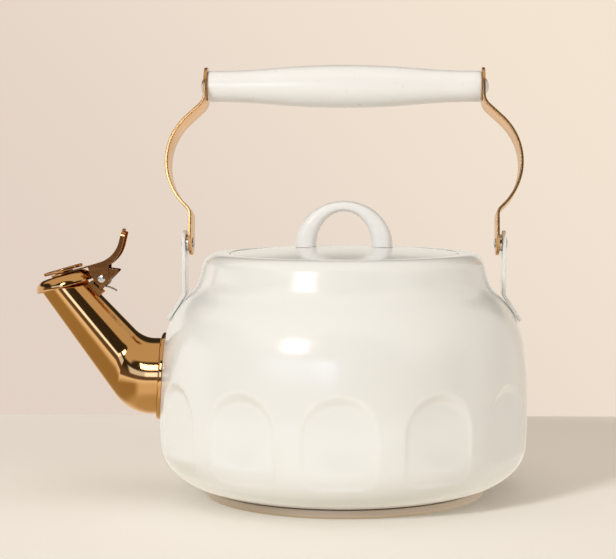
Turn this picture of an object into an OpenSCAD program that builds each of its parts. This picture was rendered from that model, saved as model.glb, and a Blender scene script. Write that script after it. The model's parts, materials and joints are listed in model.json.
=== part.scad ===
// Whistling kettle: enamelled steel body with pressed arch panels, copper spout with a sprung
// whistle flap, and a swinging bail of copper straps and a turned grip.
// Frame: origin on the table under the middle of the body, +Z up, spout along -X.

/* [Body] */
// Largest diameter of the body
body_d = 193.5; // [176:0.5:212]
// Height of the rim above the table
body_h = 126; // [118:1:140]
// Sheet thickness of the enamelled body
wall = 1.2; // [0.8:0.1:1.8]
// Height of the body's flat underside above the table
base_lift = 4; // [3:0.5:6]
// Radius of the underside where it starts to turn up
base_curve_r = 34; // [28:1:38]
// Radius of the lower corner
corner_r = 21.5; // [18:0.5:27]
// Radius of the shoulder
shoulder_r = 46.5; // [40:0.5:52]
// Radius of the hollow between shoulder and neck
neck_r = 20.5; // [16:0.5:25]
// Length of the straight neck
neck_rise = 5.8; // [3:0.2:9]
// Radius of the rim's outer edge
rim_r = 8; // [5:0.5:10]
// Width of the flat ring between the rim's edge and the lid
rim_ring = 6; // [4:0.5:9]
// Diameter of the bare steel base
base_d = 147.5; // [138:0.5:156]

/* [Panels] */
// Number of places round the body for an arched panel
panel_count = 12; // [8:1:14]
// Width of a panel
panel_w = 36.6; // [28:0.2:40]
// Height of a panel's foot above the table
panel_foot = 18.5; // [15:0.5:24]
// Height of a panel's crown above the table
panel_top = 61; // [52:0.5:68]
// Depth of the step along a panel's straight sides
panel_step = 0.45; // [0.3:0.05:0.9]
// Radius of a panel's lower corners
panel_corner_r = 8; // [4:0.5:12]

/* [Lid] */
// Gap round the lid's edge
lid_gap = 0.5; // [0.3:0.1:1]
// Depth of the seat that the lid lies in
lid_drop = 3; // [2.4:0.1:5]
// Width of the ledge that carries the lid
ledge_w = 4.5; // [3:0.5:7]
// Rise of the lid's dome
lid_dome = 3.6; // [1.5:0.1:5]
// Depth of the skirt under the lid
skirt_depth = 9; // [5:0.5:16]
// Width of the lid's arch handle
arch_w = 51; // [44:0.5:60]
// Height of the arch above the lid
arch_rise = 23.6; // [21:0.2:32]
// Width of an arch leg on the lid
arch_leg = 11; // [9:0.5:13]
// Thickness of the arch at its crown
arch_crown = 5.5; // [4.5:0.1:8]
// Depth of the arch from front to back
arch_depth = 12.4; // [10:0.2:16]

/* [Spout] */
// Height of the spout's foot as a share of the body's height
spout_share = 0.48; // [0.46:0.005:0.5]
// Outer diameter of the spout's foot
foot_d = 40.6; // [36:0.2:43]
// Sheet thickness of the spout
spout_wall = 1.2; // [0.8:0.1:1.6]
// Distance from the body's side to the middle of the mouth's cap
spout_reach = 49.6; // [44:0.2:54]
// Height of the cap's middle above the table
spout_rise = 107.1; // [102:0.5:112]
// Length of the mouth in the cap's plane
mouth_len = 24.5; // [22:0.5:26]
// Tilt of the mouth and its cap
mouth_tilt = 16; // [10:1:20]
// Distance of the lower edge's corner from the body's side
heel_out = 16.6; // [13:0.2:18]
// Radius of the lower edge's bend
heel_r = 25; // [18:1:27]
// Distance of the upper edge's corner from the body's side
crook_out = 8.8; // [8:0.1:12]
// Radius of the upper edge's bend
crook_r = 14; // [8:1:18]
// Diameter of the collar round the spout's foot
collar_d = 46.5; // [44.5:0.5:52]
// Thickness of the collar
collar_t = 2; // [1.2:0.1:3]

/* [Flap] */
// Diameter of the cap
cap_d = 31; // [29.5:0.5:32]
// Height of the cap
cap_h = 6.2; // [6:0.1:8]
// Radius of the cap's rounded edge
cap_edge_r = 5.8; // [3:0.1:6]
// Sheet thickness of the cap and the lever
flap_sheet = 0.9; // [0.7:0.1:1.1]
// Diameter of the whistle's upper plate
whistle_d = 20.8; // [17:0.2:22]
// Distance from the cap's middle to the hinge pin, along the cap
pin_reach = 20.3; // [19.9:0.1:21]
// Depth of the hinge pin below the cap's frame
pin_drop = 0.5; // [0.2:0.1:1]
// Diameter of the hinge pin
pin_d = 2.6; // [2:0.1:2.8]
// Width of the lever over its cheeks
lever_w = 11.8; // [11.2:0.2:13]
// Radius of the lever's upward sweep
lever_r = 15; // [13:0.5:18]
// Angle at which the lever's thumb piece ends
lever_turn = 60; // [50:1:66]
// Straight length of the thumb piece
lever_run = 7; // [4:0.5:10]
// Depth of the lever's side flanges
flange_depth = 3.3; // [2.4:0.1:4]
// Narrowing of the side flanges up to the thumb piece
flange_taper = 1; // [0:0.1:1.4]
// Wire diameter of the return spring
wire_d = 0.9; // [0.7:0.05:0.95]
// Mean radius of the return spring's coil
coil_r = 3.9; // [3.5:0.1:4]
// Whole turns of the return spring
coil_turns = 3; // [2:1:3]

/* [Bail] */
// Height of the bail's pivots above the table
pivot_z = 131; // [129:0.5:136]
// Distance of a strap's lower leg inside the body's largest radius
leg_inset = 16.6; // [15:0.1:18]
// Thickness of the copper straps
strap_t = 1.6; // [1.2:0.1:2]
// Width of the copper straps
strap_w = 20; // [16:0.5:22]
// Distance of the bow outside the strap's lower leg
bow_out = 12.6; // [10:0.2:15]
// Radius of the bow
bow_r = 32; // [28:0.5:34]
// Distance of the strap's upper end inside its lower leg
strap_in = 7; // [4:0.5:9]
// Distance from the pivots to the grip's axis
grip_arm = 83.2; // [80:0.2:92]
// Length of a strap below its pivot
strap_foot = 6.5; // [5:0.5:8]
// Lean of the bail towards the back
bail_lean = 10; // [0:1:20]
// Diameter of the grip's swollen middle
grip_d = 22.6; // [19:0.2:26]
// Diameter of the grip's ends
grip_end_d = 16.4; // [13:0.2:17.4]
// Thickness of the lugs
lug_t = 1.9; // [1.2:0.1:2.2]
// Width of the lugs
lug_w = 13; // [11:0.5:16]
// Thickness of the spacer washers between lugs and straps
spacer_t = 1.2; // [0.8:0.1:2]
// Diameter of the pivot rivets
rivet_d = 4; // [3:0.1:4.6]

/* [Hidden] */
$fn = 96;

enamel = "#f3f1e7";
copper = "#c58a58";
steel = "#b9bcc0";
brass = "#c9a85a";

// Clearances: a seam between fixed pieces, a fastener in its hole, a turning fit, a moving gap
seam = 0.1;
hole_fit = 0.05;
turn_fit = 0.05;
move_gap = 0.3;

// Turning points of the body's outline, as angles of its outward normal
base_turn = 48;
side_low = 4;
side_high = 7.5;
shoulder_turn = 46;
neck_lean = 13;

body_r = body_d / 2;
fixed_rise = base_curve_r * (1 - sin(base_turn)) + corner_r * (sin(base_turn) - sin(side_low))
    + shoulder_r * (sin(shoulder_turn) - sin(side_high)) + neck_r * (sin(shoulder_turn) - sin(neck_lean))
    + neck_rise * cos(neck_lean) + rim_r * (1 - sin(neck_lean));
// The belly's large radius takes up what is left of the height
side_r = (body_h - base_lift - fixed_rise) / (sin(side_low) + sin(side_high));

function dir(a) = [cos(a), sin(a)];
function left_of(a) = [-sin(a), cos(a)];

belly_z = base_lift + base_curve_r - (base_curve_r - corner_r) * sin(base_turn)
    - (corner_r - side_r) * sin(side_low);
side_c = [body_r - side_r, belly_z];
corner_c = side_c - (corner_r - side_r) * dir(-side_low);
base_c = corner_c - (base_curve_r - corner_r) * dir(-base_turn);
shoulder_c = side_c + (side_r - shoulder_r) * dir(side_high);
neck_c = shoulder_c + (shoulder_r + neck_r) * dir(shoulder_turn);
neck_end = neck_c - neck_r * dir(neck_lean);
rim_c = neck_end + neck_rise * left_of(neck_lean) - rim_r * dir(neck_lean);

// Lid and its seat
seat_r = rim_c[0] - rim_ring;
mouth_r = seat_r - ledge_w;
lid_r = seat_r - lid_gap;
lid_sheet = wall;
lid_edge_r = 1;
skirt_gap = 0.8;
lid_foot = body_h - lid_drop + move_gap;
lid_edge_top = body_h - move_gap;
lid_top = lid_edge_top + lid_dome;
dome_r = (pow(lid_r, 2) + pow(lid_dome, 2)) / (2 * lid_dome);
arch_base = lid_top + seam;
arch_screw_x = (arch_w - arch_leg) / 2;
arch_screw_d = 3;
arch_screw_l = 11;
arch_head_d = 6.4;
arch_head_h = 2;

// Spout, seen from the side
spout_z = spout_share * body_h;
foot_in = 5;
foot_x = -(body_r - foot_in);
cap_r = cap_d / 2;
cap_at = [-(body_r + spout_reach), spout_rise];
cap_low = 1;
cap_top = cap_low + cap_h;
mouth_shift = 1;
mouth_level = 2.2;
function from_cap(p) = cap_at + p[0] * dir(mouth_tilt) + p[1] * left_of(mouth_tilt);
lip_low = from_cap([-mouth_len / 2 - mouth_shift, mouth_level]);
lip_high = from_cap([mouth_len / 2 - mouth_shift, mouth_level]);
heel = [-(body_r + heel_out), spout_z - foot_d / 2];
crook = [-(body_r + crook_out), spout_z + foot_d / 2];
spout_sides = 48;
bend_steps = 10;
neck_steps = 5;

// Flap: the lever lies on the cap, and its path turns up past the pin
lever_top = cap_top + seam / 2 + flap_sheet;
lever_bend_x = pin_reach + 1.2;
whistle_shift = 1.2;
whistle_t = 1;
whistle_lift = 1.1;
stem_d = 4.8;
sound_d = 2.4;
eye_w = 4.5;
cheek_x = cap_r - 0.5;
cheek_r = 3.8;
ear_t = 1;
ear_y = lever_w / 2 - flap_sheet - move_gap - ear_t;
pin_at = from_cap([pin_reach, -pin_drop]);
pin_head_d = 3.9;
pin_head_h = 0.5;
pin_bore_d = 1.5;
neck_angle = atan2(lip_high[1] - crook[1], crook[0] - lip_high[0]);
ridge = (pin_at - crook) * [sin(neck_angle), cos(neck_angle)];

// Bail
leg_x = body_r - leg_inset;
spacer_x = leg_x + strap_t / 2 + move_gap;
lug_x = spacer_x + spacer_t + seam;
plate_x = leg_x - strap_in;
grip_half = plate_x - strap_t / 2 - seam;
foot_bend_r = 5;
foot_bend = 45;
top_bend_r = 8;
top_bend = 47;
plate_low = 5.6;
lug_seat = 33;
lug_foot = 7;
lug_bend_r = 1.5;
rivet_head_d = 6.6;
rivet_head_h = 1.1;
rivet_tail_d = 5.6;
rivet_tail_h = 0.9;
insert_d = 6.8;
insert_l = 14;
screw_d = 4;
screw_l = 12;
screw_head_d = 9.4;
screw_head_h = 2.2;
spacer_d = 9;

// Outlines from arcs. An arc is [centre, radius, first angle, last angle], a corner has radius 0.
// Angles that rise swell the outline, angles that fall hollow it.
function corner(x, y) = [[x, y], 0, 0, 0];
function on_arc(a, angle) = a[0] + a[1] * dir(angle);
function arc_ends(a) = a[1] == 0 ? [a[0]] : [on_arc(a, a[2]), on_arc(a, a[3])];
function distinct(p) = [for (i = [0:len(p) - 1]) if (norm(p[i] - p[(i + 1) % len(p)]) > 0.0001) p[i]];

// Facets of an arc's full circle, so that a short arc of a large circle is still smooth
function arc_facets(a) = max($fn, ceil(10 * 360 / abs(a[3] - a[2])));

module arc_segment(a) {
    ends = arc_ends(a);
    out = (a[1] * (1 - cos((a[3] - a[2]) / 2)) + 1) * dir((a[2] + a[3]) / 2);
    intersection() {
        translate(a[0]) circle(a[1], $fn = arc_facets(a));
        polygon([ends[0], ends[1], ends[1] + out, ends[0] + out]);
    }
}

module outline(arcs) {
    difference() {
        union() {
            polygon(distinct([for (a = arcs) each arc_ends(a)]));
            for (a = arcs) if (a[3] > a[2]) arc_segment(a);
        }
        for (a = arcs) if (a[3] < a[2]) arc_segment(a);
    }
}

// A closed skin over rings of equal count: a tube if it loops, or a solid with flat ends
function reversed(list) = [for (i = [len(list) - 1:-1:0]) list[i]];

module skin(rings, loops = false) {
    n = len(rings[0]);
    last = len(rings) - 1;
    points = [for (ring = rings) each ring];
    function at(i, k) = (i % (last + 1)) * n + k % n;
    sides = [for (i = [0:loops ? last : last - 1]) for (k = [0:n - 1]) each [
        [at(i, k), at(i + 1, k), at(i + 1, k + 1)],
        [at(i, k), at(i + 1, k + 1), at(i, k + 1)]
    ]];
    ends = loops ? [] : [for (k = [1:n - 2]) each [
        [at(0, 0), at(0, k), at(0, k + 1)],
        [at(last, 0), at(last, k + 1), at(last, k)]
    ]];
    polyhedron(points, concat(sides, ends));
}

// A domed head with a low straight edge
module dome(d, h) {
    edge = 0.2;
    round_r = (pow(d / 2, 2) + pow(h - edge, 2)) / (2 * (h - edge));
    rotate_extrude() outline([
        corner(0, 0), corner(d / 2, 0), [[0, h - round_r], round_r, asin((round_r - h + edge) / round_r), 90]
    ]);
}

// Chords that stand in for an arc
function chords(a, steps) = [for (i = [0:steps]) [on_arc(a, a[2] + (a[3] - a[2]) * i / steps), 0, 0, 0]];

// Body
// Short cones stand in for the arcs of belly and shoulder, which the spout's foot crosses
belly_steps = 6;
shoulder_steps = 12;

function body_arcs(o) = concat(
    [corner(0, base_lift + o), [base_c, base_curve_r - o, -90, -base_turn],
        [corner_c, corner_r - o, -base_turn, -side_low]],
    chords([side_c, side_r - o, -side_low, side_high], belly_steps),
    chords([shoulder_c, shoulder_r - o, side_high, shoulder_turn], shoulder_steps),
    [[neck_c, neck_r + o, 180 + shoulder_turn, 180 + neck_lean],
        [rim_c, rim_r - o, neck_lean, 90], corner(0, body_h - o)]
);

module body_solid(o) {
    rotate([0, 0, 90]) rotate_extrude() outline(body_arcs(o));
}

panel_sag = body_r - sqrt(pow(body_r, 2) - pow(panel_w / 2, 2));
panel_depth = panel_step + panel_sag;

module panel_arch(grow) {
    half = panel_w / 2 + grow;
    foot = panel_foot - grow;
    round = panel_corner_r + grow;
    outline([
        [[-half + round, foot + round], round, 180, 270],
        [[half - round, foot + round], round, 270, 360],
        [[0, panel_top - panel_w / 2], half, 0, 180]
    ]);
}

// A panel is flat from side to side and follows the body from foot to crown
module panel_cut(o) {
    out = 8;
    intersection() {
        translate([body_r - 3 * out, 0, 0]) rotate([90, 0, 90]) linear_extrude(4 * out) panel_arch(o);
        rotate([90, 0, 0]) linear_extrude(panel_w + 4 * out, center = true) difference() {
            translate([body_r - 3 * out, 0]) square([4 * out, body_h]);
            outline(body_arcs(panel_depth + o));
        }
    }
}

// The panels cut a turned shape; the place behind the spout stays plain
module panelled(o) {
    pitch = 360 / panel_count;
    difference() {
        rotate([0, 0, pitch / 2]) rotate_extrude() children();
        for (i = [0:panel_count - 1]) {
            turn = -90 + i * pitch;
            if (abs(turn - 180) >= pitch / 2) rotate([0, 0, turn]) panel_cut(o);
        }
    }
}

module body_shell() {
    ledge_z = body_h - lid_drop;
    color(enamel) difference() {
        panelled(0) difference() {
            outline(body_arcs(0));
            translate([-1, ledge_z]) square([seat_r + 1, 2 * lid_drop]);
        }
        panelled(wall) difference() {
            outline(body_arcs(wall));
            translate([mouth_r, ledge_z - wall]) square([ledge_w + wall, 2 * lid_drop]);
        }
        translate([0, 0, ledge_z - 2 * wall]) cylinder(r = mouth_r, h = 2 * lid_drop);
        translate([-body_r, 0, spout_z]) rotate([0, 90, 0])
            cylinder(d = foot_d + 2 * seam, h = 4 * foot_in, center = true);
    }
}

module base_disc() {
    edge_r = 1.5;
    color(steel) rotate_extrude() difference() {
        outline([
            corner(0, 0), [[base_d / 2 - edge_r, edge_r], edge_r, 270, 360],
            corner(base_d / 2, 3 * base_lift), corner(0, 3 * base_lift)
        ]);
        outline(body_arcs(-seam));
    }
}

// Spout: two edge curves in the middle plane carry oval sections.
// Each edge leaves the body level, bends up and runs straight to the mouth.
function edge_turn(vertex, lip) = atan2(lip[1] - vertex[1], vertex[0] - lip[0]);

function spout_edge(vertex, lip, r) =
    let (
        turn = edge_turn(vertex, lip),
        bend_c = vertex + [r * tan(turn / 2), r],
        bend_end = bend_c - r * [sin(turn), cos(turn)]
    )
    concat(
        [[foot_x, vertex[1], 0]],
        [for (i = [0:bend_steps])
            let (a = turn * i / bend_steps) [bend_c[0] - r * sin(a), bend_c[1] - r * cos(a), a]],
        [for (i = [1:neck_steps])
            let (p = bend_end + (lip - bend_end) * i / neck_steps) [p[0], p[1], turn]]
    );

low_edge = spout_edge(heel, lip_low, heel_r);
high_edge = spout_edge(crook, lip_high, crook_r);

function spout_ring(i, inset) =
    let (
        low = low_edge[i],
        high = high_edge[i],
        rise = [high[0] - low[0], high[1] - low[1]],
        half = norm(rise) / 2,
        up = rise / norm(rise),
        heading = 180 - (low[2] + high[2]) / 2,
        across = half * abs(up[0] * sin(heading) - up[1] * cos(heading)),
        middle = [low[0] + high[0], low[1] + high[1]] / 2
    )
    [for (k = [0:spout_sides - 1])
        let (a = 360 * k / spout_sides, s = (half - inset) * cos(a))
        [middle[0] + s * up[0], (across - inset) * sin(a), middle[1] + s * up[1]]];

module spout_tube() {
    stations = [0:len(low_edge) - 1];
    outer = [for (i = stations) spout_ring(i, 0)];
    inner = [for (i = stations) spout_ring(i, spout_wall)];
    color(copper) skin(concat(outer, reversed(inner)), loops = true);
}

module spout_collar() {
    color(copper) difference() {
        intersection() {
            translate([-body_r, 0, spout_z]) rotate([0, 90, 0])
                cylinder(d = collar_d, h = 8 * collar_t, center = true);
            body_solid(-seam - collar_t);
        }
        body_solid(-seam);
        translate([-body_r, 0, spout_z]) rotate([0, 90, 0])
            cylinder(d = foot_d + 2 * seam, h = 9 * collar_t, center = true);
    }
}

// Flap
module at_cap() {
    translate([cap_at[0], 0, cap_at[1]]) rotate([0, -mouth_tilt, 0]) children();
}

module cap_outline(o, low) {
    outline([
        corner(0, low), corner(cap_r - o, low),
        [[cap_r - cap_edge_r, cap_top - cap_edge_r], cap_edge_r - o, 0, 90],
        corner(0, cap_top - o)
    ]);
}

module flap_cap() {
    color(copper) at_cap() difference() {
        rotate_extrude() difference() {
            cap_outline(0, cap_low);
            cap_outline(flap_sheet, cap_low - 1);
        }
        translate([whistle_shift, 0, 0]) cylinder(d = stem_d + 2 * hole_fit, h = 2 * cap_top);
    }
}

module whistle_upper_plate() {
    hub_d = stem_d + 5;
    seat = lever_top + seam / 2;
    stem_low = cap_top - flap_sheet - whistle_t - 1.5;
    color(copper) at_cap() translate([whistle_shift, 0, 0]) difference() {
        union() {
            translate([0, 0, stem_low]) cylinder(d = stem_d, h = seat - stem_low + whistle_lift);
            translate([0, 0, seat]) cylinder(d = hub_d, h = whistle_lift + whistle_t / 2);
            translate([0, 0, seat + whistle_lift]) cylinder(d = whistle_d, h = whistle_t);
        }
        translate([0, 0, stem_low - 1]) cylinder(d = sound_d, h = 2 * cap_top);
    }
}

module whistle_lower_plate() {
    plate_d = 2 * (cap_r - cap_edge_r - whistle_shift);
    color(copper) at_cap() translate([whistle_shift, 0, cap_top - flap_sheet - seam / 2 - whistle_t])
        difference() {
            cylinder(d = plate_d, h = whistle_t);
            translate([0, 0, -1]) cylinder(d = stem_d + 2 * hole_fit, h = whistle_t + 2);
        }
}

// The lever's path: flat on the cap, then up to the thumb piece. A band hangs under the path to a
// depth that narrows along the sweep: the lower arc has its centre nearer to the path.
lever_c = [lever_bend_x, lever_top + lever_r];
lever_end = lever_turn - 90;

module lever_band(from_x, deep, taper = 0) {
    run = lever_run * dir(lever_turn);
    nearer = taper / (1 - sin(-lever_end));
    lower = [lever_c - [0, nearer], lever_r + deep - nearer, -90, lever_end];
    outline([
        corner(from_x, lever_top - deep),
        lower,
        [on_arc([lever_c, lever_r + deep - taper], lever_end) + run, 0, 0, 0],
        [on_arc([lever_c, lever_r], lever_end) + run, 0, 0, 0],
        [lever_c, lever_r, lever_end, -90],
        corner(from_x, lever_top)
    ]);
}

module lever_cheek() {
    brow = 4.5;
    difference() {
        union() {
            lever_band(cheek_x, flange_depth, flange_taper);
            translate([pin_reach, -pin_drop]) circle(cheek_r);
            polygon([
                [cheek_x, lever_top - flange_depth / 2], [cheek_x, -pin_drop + cheek_r],
                [pin_reach - cheek_r * cos(30), -pin_drop - cheek_r * sin(30)],
                [pin_reach + cheek_r * cos(30), -pin_drop - cheek_r * sin(30)],
                [lever_bend_x + brow, lever_top - flange_depth / 2]
            ]);
        }
        translate([pin_reach, -pin_drop]) circle(pin_d / 2 + turn_fit);
    }
}

module flap_lever() {
    tip_r = lever_w / 3;
    tip = on_arc([lever_c, lever_r], lever_end) + lever_run * dir(lever_turn);
    eye_d = stem_d + 2 * eye_w;
    color(copper) at_cap() difference() {
        union() {
            rotate([90, 0, 0]) linear_extrude(lever_w, center = true)
                lever_band(whistle_shift, flap_sheet);
            translate([whistle_shift, 0, lever_top - flap_sheet]) cylinder(d = eye_d, h = flap_sheet);
            for (side = [-1, 1]) translate([0, side * (lever_w - flap_sheet) / 2, 0])
                rotate([90, 0, 0]) linear_extrude(flap_sheet, center = true) lever_cheek();
        }
        translate([whistle_shift, 0, 0]) cylinder(d = stem_d + 2 * hole_fit, h = 2 * lever_top);
        // The thumb piece has rounded corners
        translate([tip[0], 0, tip[1]]) rotate([0, -lever_turn, 0]) for (side = [0, 1])
            mirror([0, side, 0]) translate([-tip_r, lever_w / 2 - tip_r, -2 * flange_depth])
                linear_extrude(4 * flange_depth) difference() {
                    square(tip_r + 1);
                    circle(tip_r);
                }
    }
}

// The bracket's own frame: x runs down the spout's upper edge, z stands off it, the pin is at 0
module at_pin() {
    translate([pin_at[0], 0, pin_at[1]]) rotate([0, neck_angle, 0]) children();
}

module bracket_ear() {
    front = 2.5;
    back = 3.6;
    top = 9.4;
    low = ridge - 0.5;
    window = coil_r + wire_d;
    difference() {
        polygon([
            [-front, -low], [back, -low], [back - 0.4, top - 0.3], [back - 1.2, top],
            [-1.3, top - 3], [-front, 3]
        ]);
        circle(pin_d / 2 + hole_fit);
        difference() {
            translate([-front + 0.8, -window]) square([front + back - 1.8, window]);
            circle(pin_d / 2 + 1.1);
            translate([-front, -pin_d / 2]) square([front + back, window]);
        }
    }
}

module flap_bracket() {
    saddle_r = 12.4;
    base_front = 3.2;
    base_l = 8.6;
    base_t = ridge - coil_r - wire_d - seam;
    color(copper) at_pin() difference() {
        union() {
            translate([-base_front, -ear_y - ear_t, -ridge - 1])
                cube([base_l, 2 * (ear_y + ear_t), base_t + 1]);
            for (side = [-1, 1]) translate([0, side * (ear_y + ear_t / 2), 0])
                rotate([90, 0, 0]) linear_extrude(ear_t, center = true) bracket_ear();
        }
        translate([-base_l, 0, -ridge - saddle_r]) rotate([0, 90, 0])
            cylinder(r = saddle_r + seam, h = 2 * base_l);
    }
}

module flap_pin() {
    reach = lever_w / 2 + move_gap;
    color(steel) translate([pin_at[0], 0, pin_at[1]]) rotate([90, 0, 0]) difference() {
        union() {
            cylinder(d = pin_d, h = 2 * reach + pin_head_h, center = true);
            for (side = [0, 1]) mirror([0, 0, side]) translate([0, 0, reach]) dome(pin_head_d, pin_head_h);
        }
        cylinder(d = pin_bore_d, h = 4 * reach, center = true);
    }
}

// Return spring: one wire, from the tail that stands out below the hinge, round the pin and up
// to the underside of the lever. Its path is in the middle plane's x and z, with y along the pin.
tail_tip = [7.6, -6.4];
lever_leg = 7;
leg_leave = 136;
coil_sweep = 360 * coil_turns + 270 - leg_leave;
coil_half = ear_y - wire_d / 2 - 2 * move_gap;
rings_per_turn = 8;
coil_steps = ceil(coil_sweep / 360 * rings_per_turn);
tail_steps = 5;

function on_coil(s) =
    let (a = -90 - coil_sweep * s) [coil_r * cos(a), (2 * s - 1) * coil_half, coil_r * sin(a)];

function on_tail(s) =
    let (p = pow(1 - s, 2) * tail_tip + 2 * s * (1 - s) * [coil_r, -coil_r] + s * s * [0, -coil_r])
    [p[0], -coil_half, p[1]];

spring_path = concat(
    [for (i = [0:tail_steps - 1]) on_tail(i / tail_steps)],
    [for (i = [0:coil_steps]) on_coil(i / coil_steps)],
    [on_coil(1) + lever_leg / 2 * [sin(leg_leave), 0, -cos(leg_leave)],
        on_coil(1) + lever_leg * [sin(leg_leave), 0, -cos(leg_leave)]]
);

function unit(v) = v / norm(v);

function wire_ring(path, i, r, sides) =
    let (
        last = len(path) - 1,
        along = unit(path[min(i + 1, last)] - path[max(i - 1, 0)]),
        side = unit(cross(along, [0, 1, 0])),
        other = cross(side, along)
    )
    [for (k = [0:sides - 1]) path[i] + r * (cos(360 * k / sides) * side + sin(360 * k / sides) * other)];

spring_gap = min([for (i = [0:len(spring_path) - 1]) for (j = [i + 5:1:len(spring_path) - 1])
    norm(spring_path[i] - spring_path[j])]) - wire_d;
echo(spring_least_gap_mm = spring_gap);

module flap_spring() {
    color(steel) translate([pin_at[0], 0, pin_at[1]])
        skin([for (i = [0:len(spring_path) - 1]) wire_ring(spring_path, i, wire_d / 2, 6)]);
}

// Lugs, rivets and spacers: each is drawn for the right side and mirrored for the left
lug_at = shoulder_c + (shoulder_r + seam) * dir(lug_seat);

module lug_shape() {
    out = lug_t + lug_bend_r;
    slip = (lug_at[0] + out * cos(lug_seat) - lug_x - out) / sin(lug_seat);
    bend_c = lug_at + out * dir(lug_seat) + slip * left_of(lug_seat);
    foot = lug_at - lug_foot * left_of(lug_seat);
    top = pivot_z + lug_w;
    color(enamel) difference() {
        intersection() {
            rotate([90, 0, 0]) linear_extrude(lug_w, center = true) outline([
                [foot, 0, 0, 0],
                [foot + lug_t * dir(lug_seat), 0, 0, 0],
                [bend_c, lug_bend_r, 180 + lug_seat, 180],
                corner(lug_x + lug_t, top), corner(lug_x, top),
                [bend_c, out, 180, 180 + lug_seat]
            ]);
            rotate([90, 0, 90]) linear_extrude(2 * body_r) outline([
                corner(-lug_w / 2, 0), corner(lug_w / 2, 0), [[0, pivot_z], lug_w / 2, 0, 180]
            ]);
        }
        translate([lug_x, 0, pivot_z]) rotate([0, 90, 0])
            cylinder(d = rivet_d + 2 * hole_fit, h = 6 * lug_t, center = true);
    }
}

module spacer_shape() {
    color(steel) translate([spacer_x, 0, pivot_z]) rotate([0, 90, 0]) difference() {
        cylinder(d = spacer_d, h = spacer_t);
        translate([0, 0, -1]) cylinder(d = rivet_d + 2 * hole_fit, h = spacer_t + 2);
    }
}

module rivet_shape() {
    inner = leg_x - strap_t / 2 - move_gap;
    outer = lug_x + lug_t + seam;
    color(steel) translate([0, 0, pivot_z]) rotate([0, 90, 0]) {
        translate([0, 0, inner - rivet_tail_h / 2])
            cylinder(d = rivet_d, h = outer - inner + (rivet_tail_h + rivet_head_h) / 2);
        translate([0, 0, outer]) dome(rivet_head_d, rivet_head_h);
        translate([0, 0, inner]) mirror([0, 0, 1]) dome(rivet_tail_d, rivet_tail_h);
    }
}

module left_lug() { mirror([1, 0, 0]) lug_shape(); }
module right_lug() { lug_shape(); }
module left_spacer_washer() { mirror([1, 0, 0]) spacer_shape(); }
module right_spacer_washer() { spacer_shape(); }
module left_pivot_rivet() { mirror([1, 0, 0]) rivet_shape(); }
module right_pivot_rivet() { rivet_shape(); }

// Bail, drawn upright with the pivot at height 0 and then leaned back
module at_bail() {
    translate([0, 0, pivot_z]) rotate([-bail_lean, 0, 0]) children();
}

// The strap's edges are arcs about three bends: out at the foot, round the bow, back to the grip
bow_c_x = leg_x + bow_out - bow_r;
foot_slope = (bow_c_x + bow_r * cos(foot_bend) - leg_x - foot_bend_r * (1 - cos(foot_bend))) / tan(foot_bend);
top_slope = (bow_c_x + bow_r * cos(top_bend) - plate_x - top_bend_r * (1 - cos(top_bend))) / tan(top_bend);
top_c = [plate_x + top_bend_r, grip_arm - plate_low];
bow_c = [bow_c_x, top_c[1] - top_bend_r * sin(top_bend) - top_slope - bow_r * sin(top_bend)];
foot_c = [leg_x + foot_bend_r, bow_c[1] - bow_r * sin(foot_bend) - foot_slope - foot_bend_r * sin(foot_bend)];

foot_steps = 6;
bow_steps = 16;
top_steps = 6;

// One edge of the strap, from below its foot to above its top, at a distance to the right of its middle
function strap_edge(out) = concat(
    [corner(leg_x + out, -strap_w)],
    chords([foot_c, foot_bend_r - out, 180, 180 - foot_bend], foot_steps),
    chords([bow_c, bow_r + out, -foot_bend, top_bend], bow_steps),
    chords([top_c, top_bend_r - out, 180 + top_bend, 180], top_steps),
    [corner(plate_x + out, grip_arm + strap_w)]
);

module strap_shape() {
    half = strap_t / 2;
    color(copper) at_bail() difference() {
        intersection() {
            rotate([90, 0, 0]) linear_extrude(strap_w, center = true)
                outline(concat(strap_edge(half), reversed(strap_edge(-half))));
            rotate([90, 0, 90]) linear_extrude(2 * body_r) outline([
                [[0, strap_w / 2 - strap_foot], strap_w / 2, 180, 360],
                [[0, grip_arm], strap_w / 2, 0, 180]
            ]);
        }
        rotate([0, 90, 0]) translate([0, 0, leg_x])
            cylinder(d = rivet_d + 2 * turn_fit, h = 6 * strap_t, center = true);
        translate([plate_x, 0, grip_arm]) rotate([0, 90, 0])
            cylinder(d = screw_d + 2 * hole_fit, h = 6 * strap_t, center = true);
    }
}

module left_strap() { mirror([1, 0, 0]) strap_shape(); }
module right_strap() { strap_shape(); }

// Grip: a long swell in the middle runs out through hollows into straight ends
module grip() {
    end_l = 5;
    swell_l = grip_half - end_l;
    swell_share = 0.58;
    turn = 2 * atan((grip_d - grip_end_d) / 2 / swell_l);
    swell_r = swell_l * swell_share / sin(turn);
    hollow_r = swell_l * (1 - swell_share) / sin(turn);
    swell_c = [grip_d / 2 - swell_r, 0];
    out = (swell_r + hollow_r) * dir(turn);
    color(enamel) at_bail() translate([0, 0, grip_arm]) rotate([0, 90, 0]) difference() {
        rotate_extrude() outline([
            corner(0, -grip_half), corner(grip_end_d / 2, -grip_half),
            [swell_c + [out[0], -out[1]], hollow_r, 180, 180 - turn],
            [swell_c, swell_r, -turn, turn],
            [swell_c + out, hollow_r, 180 + turn, 180],
            corner(grip_end_d / 2, grip_half), corner(0, grip_half)
        ]);
        for (side = [0, 1]) mirror([0, 0, side]) translate([0, 0, grip_half - insert_l - 2 * seam])
            cylinder(d = insert_d + 2 * hole_fit, h = 2 * insert_l);
    }
}

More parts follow.
